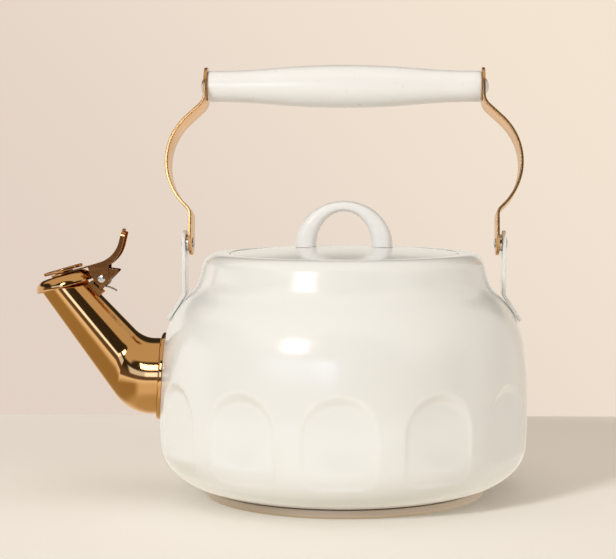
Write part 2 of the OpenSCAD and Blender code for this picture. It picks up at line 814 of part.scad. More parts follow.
module grip_inserts() {
    color(brass) at_bail() translate([0, 0, grip_arm]) rotate([0, 90, 0]) for (side = [0, 1])
        mirror([0, 0, side]) translate([0, 0, grip_half - insert_l - seam]) difference() {
            cylinder(d = insert_d, h = insert_l);
            translate([0, 0, -1]) cylinder(d = screw_d + 2 * hole_fit, h = insert_l + 2);
        }
}

module grip_screw_shape() {
    seat = plate_x + strap_t / 2 + seam / 2;
    color(steel) at_bail() translate([seat, 0, grip_arm]) rotate([0, 90, 0]) {
        translate([0, 0, -screw_l]) cylinder(d = screw_d, h = screw_l + screw_head_h / 2);
        dome(screw_head_d, screw_head_h);
    }
}

module left_grip_screw() { mirror([1, 0, 0]) grip_screw_shape(); }
module right_grip_screw() { grip_screw_shape(); }

// Lid: a low dome with a turned-down edge on the ledge and a skirt inside the mouth
module lid() {
    skirt_r = mouth_r - skirt_gap;
    dome_angle = asin(lid_r / dome_r);
    hole_d = arch_screw_d + 2 * hole_fit;
    color(enamel) difference() {
        rotate_extrude() difference() {
            outline([
                corner(0, lid_foot), corner(lid_r, lid_foot),
                [[0, lid_top - dome_r], dome_r, 90 - dome_angle, 90]
            ]);
            difference() {
                outline([
                    corner(0, lid_foot - 1), corner(lid_r - lid_sheet, lid_foot - 1),
                    [[0, lid_top - dome_r], dome_r - lid_sheet, 90 - dome_angle, 90]
                ]);
                translate([skirt_r - lid_sheet, lid_foot - 2]) square([lid_sheet, 2 * lid_drop + 2]);
            }
        }
        for (side = [-1, 1]) translate([side * arch_screw_x, 0, lid_foot])
            cylinder(d = hole_d, h = 2 * lid_drop + lid_dome);
    }
    color(enamel) translate([0, 0, lid_foot - skirt_depth]) difference() {
        cylinder(r = skirt_r, h = skirt_depth);
        translate([0, 0, -1]) cylinder(r = skirt_r - lid_sheet, h = skirt_depth + 2);
    }
}

// Arch handle: oval sections between an outer and an inner half ellipse
arch_sides = 20;
arch_steps = 26;

function soft(x) = sign(x) * pow(abs(x), 0.75);

function arch_ring(a) =
    let (
        outer = [arch_w / 2 * cos(a), arch_rise * sin(a)],
        inner = [(arch_w / 2 - arch_leg) * cos(a), (arch_rise - arch_crown) * sin(a)],
        middle = (outer + inner) / 2,
        half = (outer - inner) / 2
    )
    [for (k = [0:arch_sides - 1])
        let (t = 360 * k / arch_sides, p = middle + soft(cos(t)) * half)
        [p[0], arch_depth / 2 * soft(sin(t)), arch_base + p[1]]];

module lid_arch() {
    color(enamel) difference() {
        skin([for (i = [0:arch_steps]) arch_ring(180 * i / arch_steps)]);
        for (side = [-1, 1]) translate([side * arch_screw_x, 0, arch_base - 1])
            cylinder(d = arch_screw_d + 2 * hole_fit, h = arch_screw_l);
    }
}

module lid_screws() {
    dip = dome_r - sqrt(pow(dome_r, 2) - pow(arch_screw_x + arch_head_d, 2));
    under = lid_top - lid_sheet - dip - seam;
    color(steel) for (side = [-1, 1]) translate([side * arch_screw_x, 0, under]) {
        translate([0, 0, -arch_head_h / 2]) cylinder(d = arch_screw_d, h = arch_screw_l);
        mirror([0, 0, 1]) dome(arch_head_d, arch_head_h);
    }
}

body_shell();
base_disc();
spout_collar();
spout_tube();
flap_bracket();
flap_pin();
flap_spring();
flap_cap();
whistle_upper_plate();
whistle_lower_plate();
flap_lever();
left_lug();
right_lug();
left_spacer_washer();
right_spacer_washer();
left_pivot_rivet();
right_pivot_rivet();
left_strap();
right_strap();
grip();
grip_inserts();
left_grip_screw();
right_grip_screw();
lid();
lid_arch();
lid_screws();
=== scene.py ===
# %% [markdown]
# # An enamelled kettle with a copper spout
# A lesson in dressing a CAD model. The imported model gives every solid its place, and this script
# gives each piece its smooth surface, rounded edges and finish. All sizes below are in millimetres,
# as on the drawing, and become metres when a mesh is made. The origin is on the table under the
# middle of the body, +Z is up and the spout points along -X.

# %% Load the frame
import bpy
import bmesh
import json
from math import asin, atan, atan2, ceil, cos, degrees, pi, radians, sin, sqrt, tan
from mathutils import Matrix, Vector

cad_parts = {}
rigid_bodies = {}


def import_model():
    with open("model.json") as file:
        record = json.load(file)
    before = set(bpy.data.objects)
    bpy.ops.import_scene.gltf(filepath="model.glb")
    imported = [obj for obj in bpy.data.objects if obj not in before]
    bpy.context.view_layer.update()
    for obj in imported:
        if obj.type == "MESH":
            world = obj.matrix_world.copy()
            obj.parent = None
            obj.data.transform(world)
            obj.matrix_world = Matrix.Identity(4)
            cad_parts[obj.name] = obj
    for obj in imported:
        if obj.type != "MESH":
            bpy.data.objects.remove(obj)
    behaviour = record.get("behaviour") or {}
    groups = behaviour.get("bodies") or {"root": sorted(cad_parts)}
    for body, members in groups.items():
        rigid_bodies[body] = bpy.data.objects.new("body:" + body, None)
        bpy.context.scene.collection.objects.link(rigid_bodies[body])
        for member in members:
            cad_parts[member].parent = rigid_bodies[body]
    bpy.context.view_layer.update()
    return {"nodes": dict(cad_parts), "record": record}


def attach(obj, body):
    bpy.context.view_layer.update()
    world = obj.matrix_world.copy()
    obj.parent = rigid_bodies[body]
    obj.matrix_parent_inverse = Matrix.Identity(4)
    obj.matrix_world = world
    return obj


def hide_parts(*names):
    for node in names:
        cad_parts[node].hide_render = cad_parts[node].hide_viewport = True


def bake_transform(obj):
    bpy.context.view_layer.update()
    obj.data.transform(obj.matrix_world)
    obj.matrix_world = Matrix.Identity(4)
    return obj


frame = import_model()
scene = bpy.context.scene
scene.view_settings.view_transform = "Standard"
MM = 0.001
print("nodes in the frame:", len(frame["nodes"]))

# %% [markdown]
# ## Camera
# A long lens from 0.9 m keeps the kettle's sides nearly parallel, as a studio photograph does. The
# lens stands a little above the grip and looks slightly down. The kettle stands right of the middle,
# so the frame is shifted and the camera isn't turned, which keeps the upright edges upright.

# %% Camera
camera_data = bpy.data.cameras.new("studio_camera")
camera_data.sensor_width = 36
camera_data.lens = 100.5
camera_data.shift_x = -0.0584
camera = bpy.data.objects.new("studio_camera", camera_data)
scene.collection.objects.link(camera)
camera_turn = radians(1.3)
camera.location = (0.900 * sin(camera_turn), -0.900 * cos(camera_turn), 0.180)
camera.rotation_euler = (radians(90 - 4.34), 0, camera_turn)
scene.camera = camera
print("camera at", tuple(camera.location), "lens", camera_data.lens)

# %% [markdown]
# ## Node helpers
# A material or a geometry tree is a row of small steps. Two short helpers make them readable: one
# adds a node and fills its inputs, the other adds a step of arithmetic and gives back its result.

# %% Node helpers
def add_node(tree, kind, inputs=None, **settings):
    node = tree.nodes.new(kind)
    for key, value in settings.items():
        setattr(node, key, value)
    for key, value in (inputs or {}).items():
        if isinstance(value, bpy.types.NodeSocket):
            tree.links.new(value, node.inputs[key])
        else:
            node.inputs[key].default_value = value
    return node


def maths(tree, operation, *values):
    return add_node(tree, "ShaderNodeMath", dict(enumerate(values)), operation=operation).outputs[0]


# %% [markdown]
# ## Stage
# The kettle stands on a pale table that ends a hand's width behind it, before a warm backdrop with
# painted shade: darker towards the lower left, lighter towards the upper right.
# The backdrop is the world's colour: the camera and the polished metal see it, and the same world
# gives a low even light. The studio in front of the kettle is darker, and polished copper needs that
# darkness, because a mirror of even light looks like a flat paint. Three large softboxes light the
# kettle and stay out of its mirror. A small box near the kettle does the reverse: it gives no light of
# its own to the enamel and only glints in it.

# %% Table
table_mesh = bpy.data.meshes.new("table")
table_mesh.from_pydata([(-2, -1.5, 0), (2, -1.5, 0), (2, 0.254, 0), (-2, 0.254, 0)], [], [(0, 1, 2, 3)])
table = bpy.data.objects.new("table", table_mesh)
scene.collection.objects.link(table)
table_paint = bpy.data.materials.new("table_paint")
table_paint.use_nodes = True
table_shader = table_paint.node_tree.nodes["Principled BSDF"]
table_shader.inputs["Base Color"].default_value = (0.98, 0.95, 0.89, 1)
table_shader.inputs["Roughness"].default_value = 0.75
table_shader.inputs["Specular IOR Level"].default_value = 0.2
table_mesh.materials.append(table_paint)
table.visible_glossy = False

# %% Backdrop and room
room = bpy.data.worlds.new("studio")
scene.world = room
room.use_nodes = True
room_tree = room.node_tree
room_tree.nodes.clear()
sight = add_node(room_tree, "ShaderNodeLightPath").outputs
direction = add_node(room_tree, "ShaderNodeTexCoord").outputs["Generated"]
east, north, up = add_node(room_tree, "ShaderNodeSeparateXYZ", {0: direction}).outputs


def ramp(value, first, last):
    """A soft step: 0 at the first value of a direction, 1 at the last."""
    return add_node(room_tree, "ShaderNodeMapRange", {"Value": value, "From Min": first, "From Max": last},
                    interpolation_type="SMOOTHSTEP").outputs[0]


def all_of(*shares):
    whole = shares[0]
    for share in shares[1:]:
        whole = maths(room_tree, "MULTIPLY", whole, share)
    return whole


def blend(share, below, above):
    mix = add_node(room_tree, "ShaderNodeMix", {"Factor": share}, data_type="RGBA")
    for socket, colour in ((mix.inputs[6], below), (mix.inputs[7], above)):
        if isinstance(colour, tuple):
            socket.default_value = (*colour, 1)
        else:
            room_tree.links.new(colour, socket)
    return mix.outputs[2]


def slanted(lean):
    """Height of a direction above a line that falls to the east."""
    return maths(room_tree, "ADD", up, maths(room_tree, "MULTIPLY", east, lean))


# %% What the polished metal sees
room_tone = blend(ramp(up, 0.02, 0.26), (0.17, 0.125, 0.085), (0.045, 0.04, 0.028))
table_share = ramp(up, -0.08, -0.14)
table_tone = blend(ramp(east, -0.70, -0.45), (0.46, 0.35, 0.17), (0.98, 0.88, 0.74))
table_tone = blend(ramp(up, -0.11, -0.36), (1.25, 1.25, 1.20), table_tone)
table_tone = blend(ramp(up, -0.60, -0.90), table_tone, (0.66, 0.56, 0.36))
behind_share = all_of(ramp(north, -0.15, 0.15), ramp(up, 0.30, 0.18), ramp(up, -0.30, -0.20))
ceiling_share = all_of(ramp(up, 0.40, 0.48), ramp(north, -0.69, -0.63), ramp(north, 0.60, 0.45),
                       ramp(east, -0.84, -0.76))
window_share = all_of(ramp(up, 0.06, 0.10), ramp(up, 0.32, 0.26), ramp(east, -0.04, -0.08),
                      ramp(east, -0.80, -0.72), ramp(north, -0.40, -0.50))
window_tone = blend(ramp(east, -0.30, -0.20), (1.0, 1.2, 1.6), (1.9, 2.3, 3.2))
mirror_colour = blend(table_share, room_tone, table_tone)
behind_tone = blend(ramp(east, 0.25, 0.45), (0.92, 0.86, 0.77), (0.77, 0.66, 0.52))
mirror_colour = blend(behind_share, mirror_colour, behind_tone)
right_share = all_of(ramp(east, 0.56, 0.68), ramp(up, 0.60, 0.50), ramp(up, -0.30, -0.20),
                     ramp(north, -0.30, 0.0))
mirror_colour = blend(right_share, mirror_colour, (0.82, 0.76, 0.68))
mirror_colour = blend(ceiling_share, mirror_colour, (0.74, 0.65, 0.50))
mirror_colour = blend(window_share, mirror_colour, window_tone)

# %% What the camera sees, and the even light
def glow(colour, strength=1.0):
    return add_node(room_tree, "ShaderNodeBackground", {"Color": colour, "Strength": strength}).outputs[0]


def either(share, first, second):
    return add_node(room_tree, "ShaderNodeMixShader", {0: share, 1: first, 2: second}).outputs[0]


# The backdrop's warm colour gets painted light and shade: darker towards the lower left, lighter towards the
# upper right.
painted_wall_light_share = ramp(slanted(1.1), -0.33, 0.20)
wall_colour_and_painted_shade = blend(painted_wall_light_share, (0.765, 0.645, 0.56), (0.90, 0.775, 0.645))
backdrop, mirrored = glow(wall_colour_and_painted_shade), glow(mirror_colour)
even = glow((1.0, 0.84, 0.69, 1), 0.38)
seen_in_metal = maths(room_tree, "MAXIMUM", sight["Is Glossy Ray"], sight["Is Transmission Ray"])
lit = either(seen_in_metal, even, mirrored)
shown = either(sight["Is Camera Ray"], lit, backdrop)
add_node(room_tree, "ShaderNodeOutputWorld", {"Surface": shown})
print("room nodes:", len(room_tree.nodes))

# %% Lamps
def softbox(name, place, aim, size, power, tint):
    lamp = bpy.data.lights.new(name, "AREA")
    lamp.shape = "RECTANGLE"
    lamp.size, lamp.size_y = size
    lamp.energy = power
    lamp.color = tint
    box = bpy.data.objects.new(name, lamp)
    scene.collection.objects.link(box)
    box.location = place
    box.rotation_euler = (Vector(aim) - Vector(place)).to_track_quat("-Z", "Y").to_euler()
    return box


glint = softbox("near_glint_box", (-0.182, -0.345, 0.278), (-0.05, 0, 0.10), (0.108, 0.106), 0.22,
                (1.0, 0.995, 0.98))
glint.visible_diffuse = False
glint.visible_camera = False
key = softbox("front_left_key", (-2.00, -2.56, 1.74), (0, 0, 0.083), (0.60, 0.60), 68.0, (0.985, 0.995, 1.0))
key.visible_glossy = False
fill = softbox("right_fill", (1.80, -1.40, 0.90), (0, 0, 0.09), (1.5, 0.9), 13.0, (1.0, 0.985, 0.965))
fill.visible_glossy = False
sky = softbox("overhead_sky", (-0.20, 0.15, 1.90), (0, 0, 0.10), (1.8, 1.8), 8.2, (1.0, 0.965, 0.92))
sky.visible_glossy = False

# %% [markdown]
# ## Finishes
# Fired enamel is a glass skin: a warm white under a hard gloss, with a very slight waviness. Copper is
# polished by hand, so its mirror is broken by fine lines and faint warm clouds. Steel shows polishing
# lines too, the spring's wire is darker, and the base has the rings of the lathe. Grip and arch have
# a softer, satin white. Each finish reads Object coordinates, so it stays with its piece when the
# piece moves.

# %% Finish helper
def finish(name, colour, roughness, metallic=0.0, **constants):
    material = bpy.data.materials.new(name)
    material.use_nodes = True
    tree = material.node_tree
    shader = tree.nodes["Principled BSDF"]
    shader.inputs["Metallic"].default_value = metallic
    for key, value in constants.items():
        shader.inputs[key.replace("_", " ")].default_value = value
    place = add_node(tree, "ShaderNodeTexCoord").outputs["Object"]

    def cloud(scale, detail=2.0, stretch=(1, 1, 1)):
        turned = add_node(tree, "ShaderNodeMapping", {"Vector": place, "Scale": stretch}).outputs[0]
        noise = {"Vector": turned, "Scale": scale, "Detail": detail}
        return add_node(tree, "ShaderNodeTexNoise", noise).outputs[0]

    def tint(cloudiness, low, high):
        mix = add_node(tree, "ShaderNodeMix", {"Factor": cloudiness}, data_type="RGBA")
        mix.inputs[6].default_value = (*low, 1)
        mix.inputs[7].default_value = (*high, 1)
        tree.links.new(mix.outputs[2], shader.inputs["Base Color"])

    def gloss(cloudiness, low, high):
        span = add_node(tree, "ShaderNodeMapRange", {"Value": cloudiness, "From Min": 0.3, "From Max": 0.7,
                        "To Min": low, "To Max": high})
        tree.links.new(span.outputs[0], shader.inputs["Roughness"])

    def relief(height, depth, strength=1.0):
        bump = add_node(tree, "ShaderNodeBump", {"Height": height, "Distance": depth, "Strength": strength})
        tree.links.new(bump.outputs[0], shader.inputs["Normal"])

    shader.inputs["Base Color"].default_value = (*colour, 1)
    shader.inputs["Roughness"].default_value = roughness
    return material, cloud, tint, gloss, relief, place, tree


# %% Enamel and satin white
enamel, cloud, tint, gloss, relief, place, tree = finish(
    "fired_enamel", (0.86, 0.845, 0.79), 0.1, Coat_Weight=0.5, Coat_Roughness=0.12, Coat_IOR=1.5)
tint(cloud(14), (0.818, 0.832, 0.815), (0.798, 0.810, 0.785))
gloss(cloud(60, 4.0), 0.17, 0.25)
relief(cloud(120, 1.0), 0.00025, 0.12)

satin_white, cloud, tint, gloss, relief, place, tree = finish(
    "satin_white", (0.86, 0.845, 0.79), 0.3, Coat_Weight=0.15, Coat_Roughness=0.25)
tint(cloud(25), (0.845, 0.852, 0.845), (0.825, 0.830, 0.815))
gloss(cloud(180, 4.0), 0.27, 0.33)
relief(cloud(90, 2.0), 0.0002, 0.05)

# %% Copper: polished on the spout, satin on the small hinge sheets, brushed on the straps
copper, cloud, tint, gloss, relief, place, tree = finish("polished_copper", (0.66, 0.37, 0.15), 0.1, 1.0)
tint(cloud(30, 3.0), (0.72, 0.42, 0.18), (0.62, 0.34, 0.135))
gloss(cloud(45, 4.0, (1, 5, 1)), 0.045, 0.10)
relief(cloud(420, 2.0, (1, 12, 1)), 0.00004, 0.05)

satin_copper, cloud, tint, gloss, relief, place, tree = finish(
    "satin_copper", (0.62, 0.34, 0.15), 0.16, 1.0, Specular_Tint=(0.40, 0.22, 0.12, 1))
tint(cloud(60, 3.0), (0.66, 0.36, 0.16), (0.56, 0.285, 0.115))
gloss(cloud(120, 4.0, (1, 1, 4)), 0.07, 0.12)
relief(cloud(300, 2.0, (1, 1, 8)), 0.00002, 0.05)

bar_copper, cloud, tint, gloss, relief, place, tree = finish(
    "brushed_bar_copper", (0.66, 0.37, 0.15), 0.3, 1.0)
tint(cloud(30, 3.0), (0.78, 0.47, 0.21), (0.68, 0.39, 0.165))
gloss(cloud(45, 4.0, (1, 5, 1)), 0.26, 0.36)
relief(cloud(420, 2.0, (1, 12, 1)), 0.00004, 0.05)

# %% Steels and brass
steel, cloud, tint, gloss, relief, place, tree = finish("polished_steel", (0.66, 0.65, 0.63), 0.16, 1.0)
tint(cloud(90), (0.70, 0.69, 0.67), (0.58, 0.57, 0.55))
gloss(cloud(400, 3.0), 0.12, 0.26)
relief(cloud(900, 2.0, (1, 6, 1)), 0.00004, 0.2)

spring_steel, cloud, tint, gloss, relief, place, tree = finish("spring_steel", (0.36, 0.32, 0.27), 0.3, 1.0)
tint(cloud(300), (0.38, 0.34, 0.28), (0.27, 0.235, 0.19))
gloss(cloud(600, 3.0), 0.26, 0.40)
relief(cloud(1500, 2.0), 0.00003, 0.2)

base_steel, cloud, tint, gloss, relief, place, tree = finish(
    "turned_base_steel", (0.60, 0.52, 0.43), 0.45, 0.7)
flat_place = add_node(tree, "ShaderNodeSeparateXYZ", {0: place})
ring_place = maths(tree, "SQRT", maths(tree, "ADD", maths(tree, "POWER", flat_place.outputs[0], 2.0),
                                       maths(tree, "POWER", flat_place.outputs[1], 2.0)))
rings = add_node(tree, "ShaderNodeTexNoise", {"W": maths(tree, "ADD", ring_place, flat_place.outputs[2]),
                 "Scale": 2600.0, "Detail": 2.0}, noise_dimensions="1D").outputs[0]
tint(rings, (0.66, 0.56, 0.46), (0.53, 0.44, 0.35))
gloss(rings, 0.38, 0.52)
relief(rings, 0.00005, 0.35)

brass, cloud, tint, gloss, relief, place, tree = finish("turned_brass", (0.72, 0.56, 0.28), 0.25, 1.0)
tint(cloud(200), (0.75, 0.59, 0.30), (0.62, 0.46, 0.21))
gloss(cloud(600, 3.0, (8, 1, 1)), 0.2, 0.36)
relief(cloud(900, 2.0, (10, 1, 1)), 0.00005, 0.3)
finishes = {"enamel": enamel, "copper": copper, "steel": steel, "base_steel": base_steel,
            "handle_white": satin_white, "brass": brass}
print("finishes:", [m.name for m in finishes.values()])

# %% [markdown]
# ## Mesh helpers
# Nearly every piece here is either turned on a lathe or drawn along a path, so it is a row of rings
# with skin between them. The helpers lay rings out, close their ends, and hand the finished piece to
# its CAD body. A corner is never knife-sharp on a real piece, so outlines get small rounds.

# %% Outline helpers
def arc(centre, radius, first, last, steps):
    angles = [radians(first + (last - first) * i / steps) for i in range(steps + 1)]
    return [(centre[0] + radius * cos(a), centre[1] + radius * sin(a)) for a in angles]


def eased(corners, closed=False, step=18):
    """An outline of (x, y, round) corners, each rounded with a short arc."""
    points = []
    count = len(corners)
    for i, (x, y, r) in enumerate(corners):
        if r == 0 or (not closed and i in (0, count - 1)):
            points.append((x, y))
            continue
        here = Vector((x, y))
        back = (here - Vector(corners[i - 1][:2])).normalized()
        ahead = (Vector(corners[(i + 1) % count][:2]) - here).normalized()
        turn = back.angle_signed(ahead)
        reach = r * tan(abs(turn) / 2)
        start = here - back * reach
        side = -1 if turn > 0 else 1
        middle = start + Vector((-back.y, back.x)) * r * side
        pieces = max(2, ceil(degrees(abs(turn)) / step))
        for k in range(pieces + 1):
            swing = Matrix.Rotation(side * abs(turn) * k / pieces, 2)
            spot = middle + swing @ (start - middle)
            points.append((spot.x, spot.y))
    return points


# %% Ring helpers
def mesh_of_rings(name, rings, loops=False):
    """Skin over rings of equal count; a ring of one point is a pole."""
    points, starts = [], []
    for ring in rings:
        starts.append(len(points))
        points.extend(Vector(p) * MM for p in ring)
    faces = []
    pairs = list(zip(range(len(rings)), range(1, len(rings)))) + ([(len(rings) - 1, 0)] if loops else [])
    for a, b in pairs:
        count_a, count_b = len(rings[a]), len(rings[b])
        for k in range(max(count_a, count_b)):
            one, two = starts[a] + k % count_a, starts[a] + (k + 1) % count_a
            three, four = starts[b] + (k + 1) % count_b, starts[b] + k % count_b
            corners = ((one, None), (two, one), (three, None), (four, three))
            faces.append([v for v, other in corners if v != other])
    if not loops:
        for i in (0, len(rings) - 1):
            if len(rings[i]) > 1:
                faces.append([starts[i] + k for k in range(len(rings[i]))])
    mesh = bpy.data.meshes.new(name)
    mesh.from_pydata(points, [], faces)
    return mesh


def outward(mesh):
    work = bmesh.new()
    work.from_mesh(mesh)
    bmesh.ops.remove_doubles(work, verts=work.verts, dist=1e-7)
    bmesh.ops.recalc_face_normals(work, faces=work.faces)
    work.to_mesh(mesh)
    work.free()
    return mesh


def shade(mesh, crease=38):
    mesh.polygons.foreach_set("use_smooth", [True] * len(mesh.polygons))
    mesh.set_sharp_from_angle(angle=radians(crease))


def piece_of(mesh, name, body, slot, *nodes, material=None):
    piece = bpy.data.objects.new(name, mesh)
    scene.collection.objects.link(piece)
    mesh.materials.clear()
    mesh.materials.append(material or finishes[slot])
    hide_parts(*nodes)
    if body:
        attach(piece, body)
    print(name, "stands for", ", ".join(nodes), "with", len(mesh.polygons), "faces")
    return piece


# %% Lathe
def lathe_rings(profile, angles):
    return [[(0, 0, h)] if r < 1e-6 else [(r * cos(a), r * sin(a), h) for a in angles] for r, h in profile]


def turned(name, profile, place=Matrix(), count=96, loops=False):
    """Turn a profile of (radius, height) round Z; a place matrix in millimetres then moves it."""
    angles = [2 * pi * k / count for k in range(count)]
    rings = [[place @ Vector(p) for p in ring] for ring in lathe_rings(profile, angles)]
    mesh = outward(mesh_of_rings(name, rings, loops))
    shade(mesh)
    return mesh


# %% [markdown]
# ## Body
# The body is one pressed and enamelled shell. Its outline is a chain of arcs that run into each
# other: the underside, the lower corner, a nearly straight belly, the shoulder, a hollow neck and the
# rolled rim. The outline is turned like a pot. The arch panels are then pressed in by a Geometry
# Nodes rule, so one set of numbers shapes all eleven; the place behind the spout stays plain.

# %% Body outline
body_r, body_h, wall = 96.75, 126.0, 1.2
base_curve_r, corner_r, shoulder_r, neck_r, rim_r, neck_rise = 34.0, 21.5, 46.5, 20.5, 8.0, 5.8
base_turn, side_low, side_high, shoulder_turn, neck_lean = 48.0, 4.0, 7.5, 46.0, 13.0
rim_ring, lid_drop, ledge_w, base_lift = 6.0, 3.0, 4.5, 4.0


def dir2(angle):
    return Vector((cos(radians(angle)), sin(radians(angle))))


def left2(angle):
    return Vector((-sin(radians(angle)), cos(radians(angle))))


fixed_rise = (base_curve_r * (1 - dir2(base_turn).y) + corner_r * (dir2(base_turn).y - dir2(side_low).y)
              + shoulder_r * (dir2(shoulder_turn).y - dir2(side_high).y)
              + neck_r * (dir2(shoulder_turn).y - dir2(neck_lean).y)
              + neck_rise * dir2(neck_lean).x + rim_r * (1 - dir2(neck_lean).y))
side_r = (body_h - base_lift - fixed_rise) / (dir2(side_low).y + dir2(side_high).y)
belly_z = (base_lift + base_curve_r - (base_curve_r - corner_r) * dir2(base_turn).y
           - (corner_r - side_r) * dir2(side_low).y)
side_c = Vector((body_r - side_r, belly_z))
corner_c = side_c - (corner_r - side_r) * dir2(-side_low)
base_c = corner_c - (base_curve_r - corner_r) * dir2(-base_turn)
shoulder_c = side_c + (side_r - shoulder_r) * dir2(side_high)
neck_c = shoulder_c + (shoulder_r + neck_r) * dir2(shoulder_turn)
neck_end = neck_c - neck_r * dir2(neck_lean)
rim_c = neck_end + neck_rise * left2(neck_lean) - rim_r * dir2(neck_lean)
seat_r = rim_c.x - rim_ring
mouth_r = seat_r - ledge_w


def wall_arcs(inset, fine):
    steps = lambda n: max(3, int(n * fine))
    return (arc(base_c, base_curve_r - inset, -90, -base_turn, steps(8))
            + arc(corner_c, corner_r - inset, -base_turn, -side_low, steps(22))[1:]
            + arc(side_c, side_r - inset, -side_low, side_high, steps(60))[1:]
            + arc(shoulder_c, shoulder_r - inset, side_high, shoulder_turn, steps(18))[1:]
            + arc(neck_c, neck_r + inset, 180 + shoulder_turn, 180 + neck_lean, steps(10))[1:])


outer_side = [(0, base_lift)] + wall_arcs(0, 1.0) + arc(rim_c, rim_r, neck_lean, 90, 9)
seat_edge = eased([(rim_c.x, body_h, 0), (seat_r, body_h, 0.8), (seat_r, body_h - lid_drop, 0.6),
                   (mouth_r, body_h - lid_drop, 0.5), (mouth_r, body_h - lid_drop - wall, 0.4),
                   (seat_r + wall, body_h - lid_drop - wall, 0)])[1:]
inner_side = [(seat_r + wall, body_h - wall), (rim_c.x, body_h - wall)]
inner_side += arc(rim_c, rim_r - wall, 90, neck_lean, 4)[1:]
inner_side += wall_arcs(wall, 0.45)[::-1] + [(0, base_lift + wall)]
body_profile = outer_side + seat_edge + inner_side
print("body profile points:", len(body_profile), "side radius", round(side_r, 2))

# %% Body turned
places = 12
pitch = 360 / places
slope_in, slope_out = 9.6, 12.4
panel_angles = []
for first, last, count in ((-pitch / 2, -slope_out, 2), (-slope_out, -slope_in, 8), (-slope_in, slope_in, 16),
                           (slope_in, slope_out, 8), (slope_out, pitch / 2, 2)):
    panel_angles += [first + (last - first) * i / count for i in range(count)]
columns = [radians(-90 + pitch * n + a) for n in range(places) for a in panel_angles]
body_mesh = outward(mesh_of_rings("body", lathe_rings(body_profile, columns)))
print("columns round the body:", len(columns))

# %% Tree helper
def geometry_tree(name, *sockets):
    """A geometry tree with its inputs: the tree, its sockets' keys by label, and the input's outputs."""
    tree = bpy.data.node_groups.new(name, "GeometryNodeTree")
    keys = {}
    for label, kind in (("Geometry", "Geometry"), *sockets):
        socket = tree.interface.new_socket(label, in_out="INPUT", socket_type="NodeSocket" + kind)
        keys[label] = socket.identifier
    tree.interface.new_socket("Geometry", in_out="OUTPUT", socket_type="NodeSocketGeometry")
    return tree, keys, add_node(tree, "NodeGroupInput").outputs


def close_tree(tree, shape, material):
    """Make the shape real, give it its material and send it out."""
    real = add_node(tree, "GeometryNodeRealizeInstances", {0: shape}).outputs[0]
    dressed = add_node(tree, "GeometryNodeSetMaterial", {"Geometry": real, "Material": material}).outputs[0]
    add_node(tree, "NodeGroupOutput", {0: dressed})


# %% Panel rule
panel_numbers = ("Places", "Width", "Foot", "Crown", "Corner", "Run out", "Depth", "Slope")
panel_rule, panel_sockets, given = geometry_tree(
    "arch_panels", *((label, "Float") for label in panel_numbers), ("Enamel", "Material"))
position = add_node(panel_rule, "GeometryNodeInputPosition").outputs[0]
normal = add_node(panel_rule, "GeometryNodeInputNormal").outputs[0]
x, y, z = add_node(panel_rule, "ShaderNodeSeparateXYZ", {0: position}).outputs
lean = add_node(panel_rule, "ShaderNodeSeparateXYZ", {0: normal}).outputs
least_level, depth_at_foot, spout_side = 0.35, 0.25, -0.95


def rule(operation, *values):
    return maths(panel_rule, operation, *values)


def length_of(a, b):
    return rule("SQRT", rule("ADD", rule("MULTIPLY", a, a), rule("MULTIPLY", b, b)))


level = rule("MAXIMUM", length_of(lean[0], lean[1]), least_level)
angle = rule("ARCTAN2", y, x)
half_pitch = rule("DIVIDE", pi, given["Places"])
local = rule("WRAP", rule("ADD", angle, pi / 2), half_pitch, rule("MULTIPLY", half_pitch, -1.0))
facing = rule("SUBTRACT", angle, local)
radius = length_of(x, y)
across = rule("ABSOLUTE", rule("MULTIPLY", radius, rule("SINE", local)))
half_width = rule("MULTIPLY", given["Width"], 0.5)
crown_z = rule("SUBTRACT", given["Crown"], half_width)
above = rule("SUBTRACT", length_of(across, rule("SUBTRACT", z, crown_z)), half_width)
beyond_side = rule("SUBTRACT", across, rule("SUBTRACT", half_width, given["Corner"]))
beyond_foot = rule("SUBTRACT", rule("ADD", given["Foot"], given["Corner"]), z)
round_part = length_of(rule("MAXIMUM", beyond_side, 0.0), rule("MAXIMUM", beyond_foot, 0.0))
inner_part = rule("MINIMUM", rule("MAXIMUM", beyond_side, beyond_foot), 0.0)
below = rule("SUBTRACT", rule("ADD", round_part, inner_part), given["Corner"])
upper = rule("GREATER_THAN", z, crown_z)
distance = rule("ADD", below, rule("MULTIPLY", upper, rule("SUBTRACT", above, below)))
sag = rule("MULTIPLY", radius, rule("SUBTRACT", 1.0, rule("COSINE", local)))
run_out = add_node(panel_rule, "ShaderNodeMapRange",
                   {"Value": z, "From Min": given["Foot"], "From Max": given["Run out"],
                    "To Min": depth_at_foot, "To Max": 1.0}, interpolation_type="SMOOTHSTEP").outputs[0]
flat_depth = rule("SUBTRACT", rule("DIVIDE", given["Depth"], level), sag)
sink = rule("MULTIPLY", rule("MAXIMUM", flat_depth, 0.0), run_out)
half_slope = rule("ADD", rule("MULTIPLY", given["Slope"], 0.5), sink)
inside = add_node(panel_rule, "ShaderNodeMapRange", {"Value": distance, "From Min": half_slope,
                  "From Max": rule("MULTIPLY", half_slope, -1.0)}, interpolation_type="SMOOTHSTEP").outputs[0]
not_behind_spout = rule("GREATER_THAN", rule("COSINE", facing), spout_side)
push = rule("MULTIPLY", rule("MULTIPLY", sink, inside), rule("MULTIPLY", not_behind_spout, -1.0))
shift = add_node(panel_rule, "ShaderNodeCombineXYZ", {0: rule("MULTIPLY", push, rule("COSINE", facing)),
                 1: rule("MULTIPLY", push, rule("SINE", facing))}).outputs[0]
pressed = add_node(panel_rule, "GeometryNodeSetPosition", {"Geometry": given["Geometry"], "Offset": shift})
close_tree(panel_rule, pressed.outputs[0], given["Enamel"])
print("panel rule nodes:", len(panel_rule.nodes))


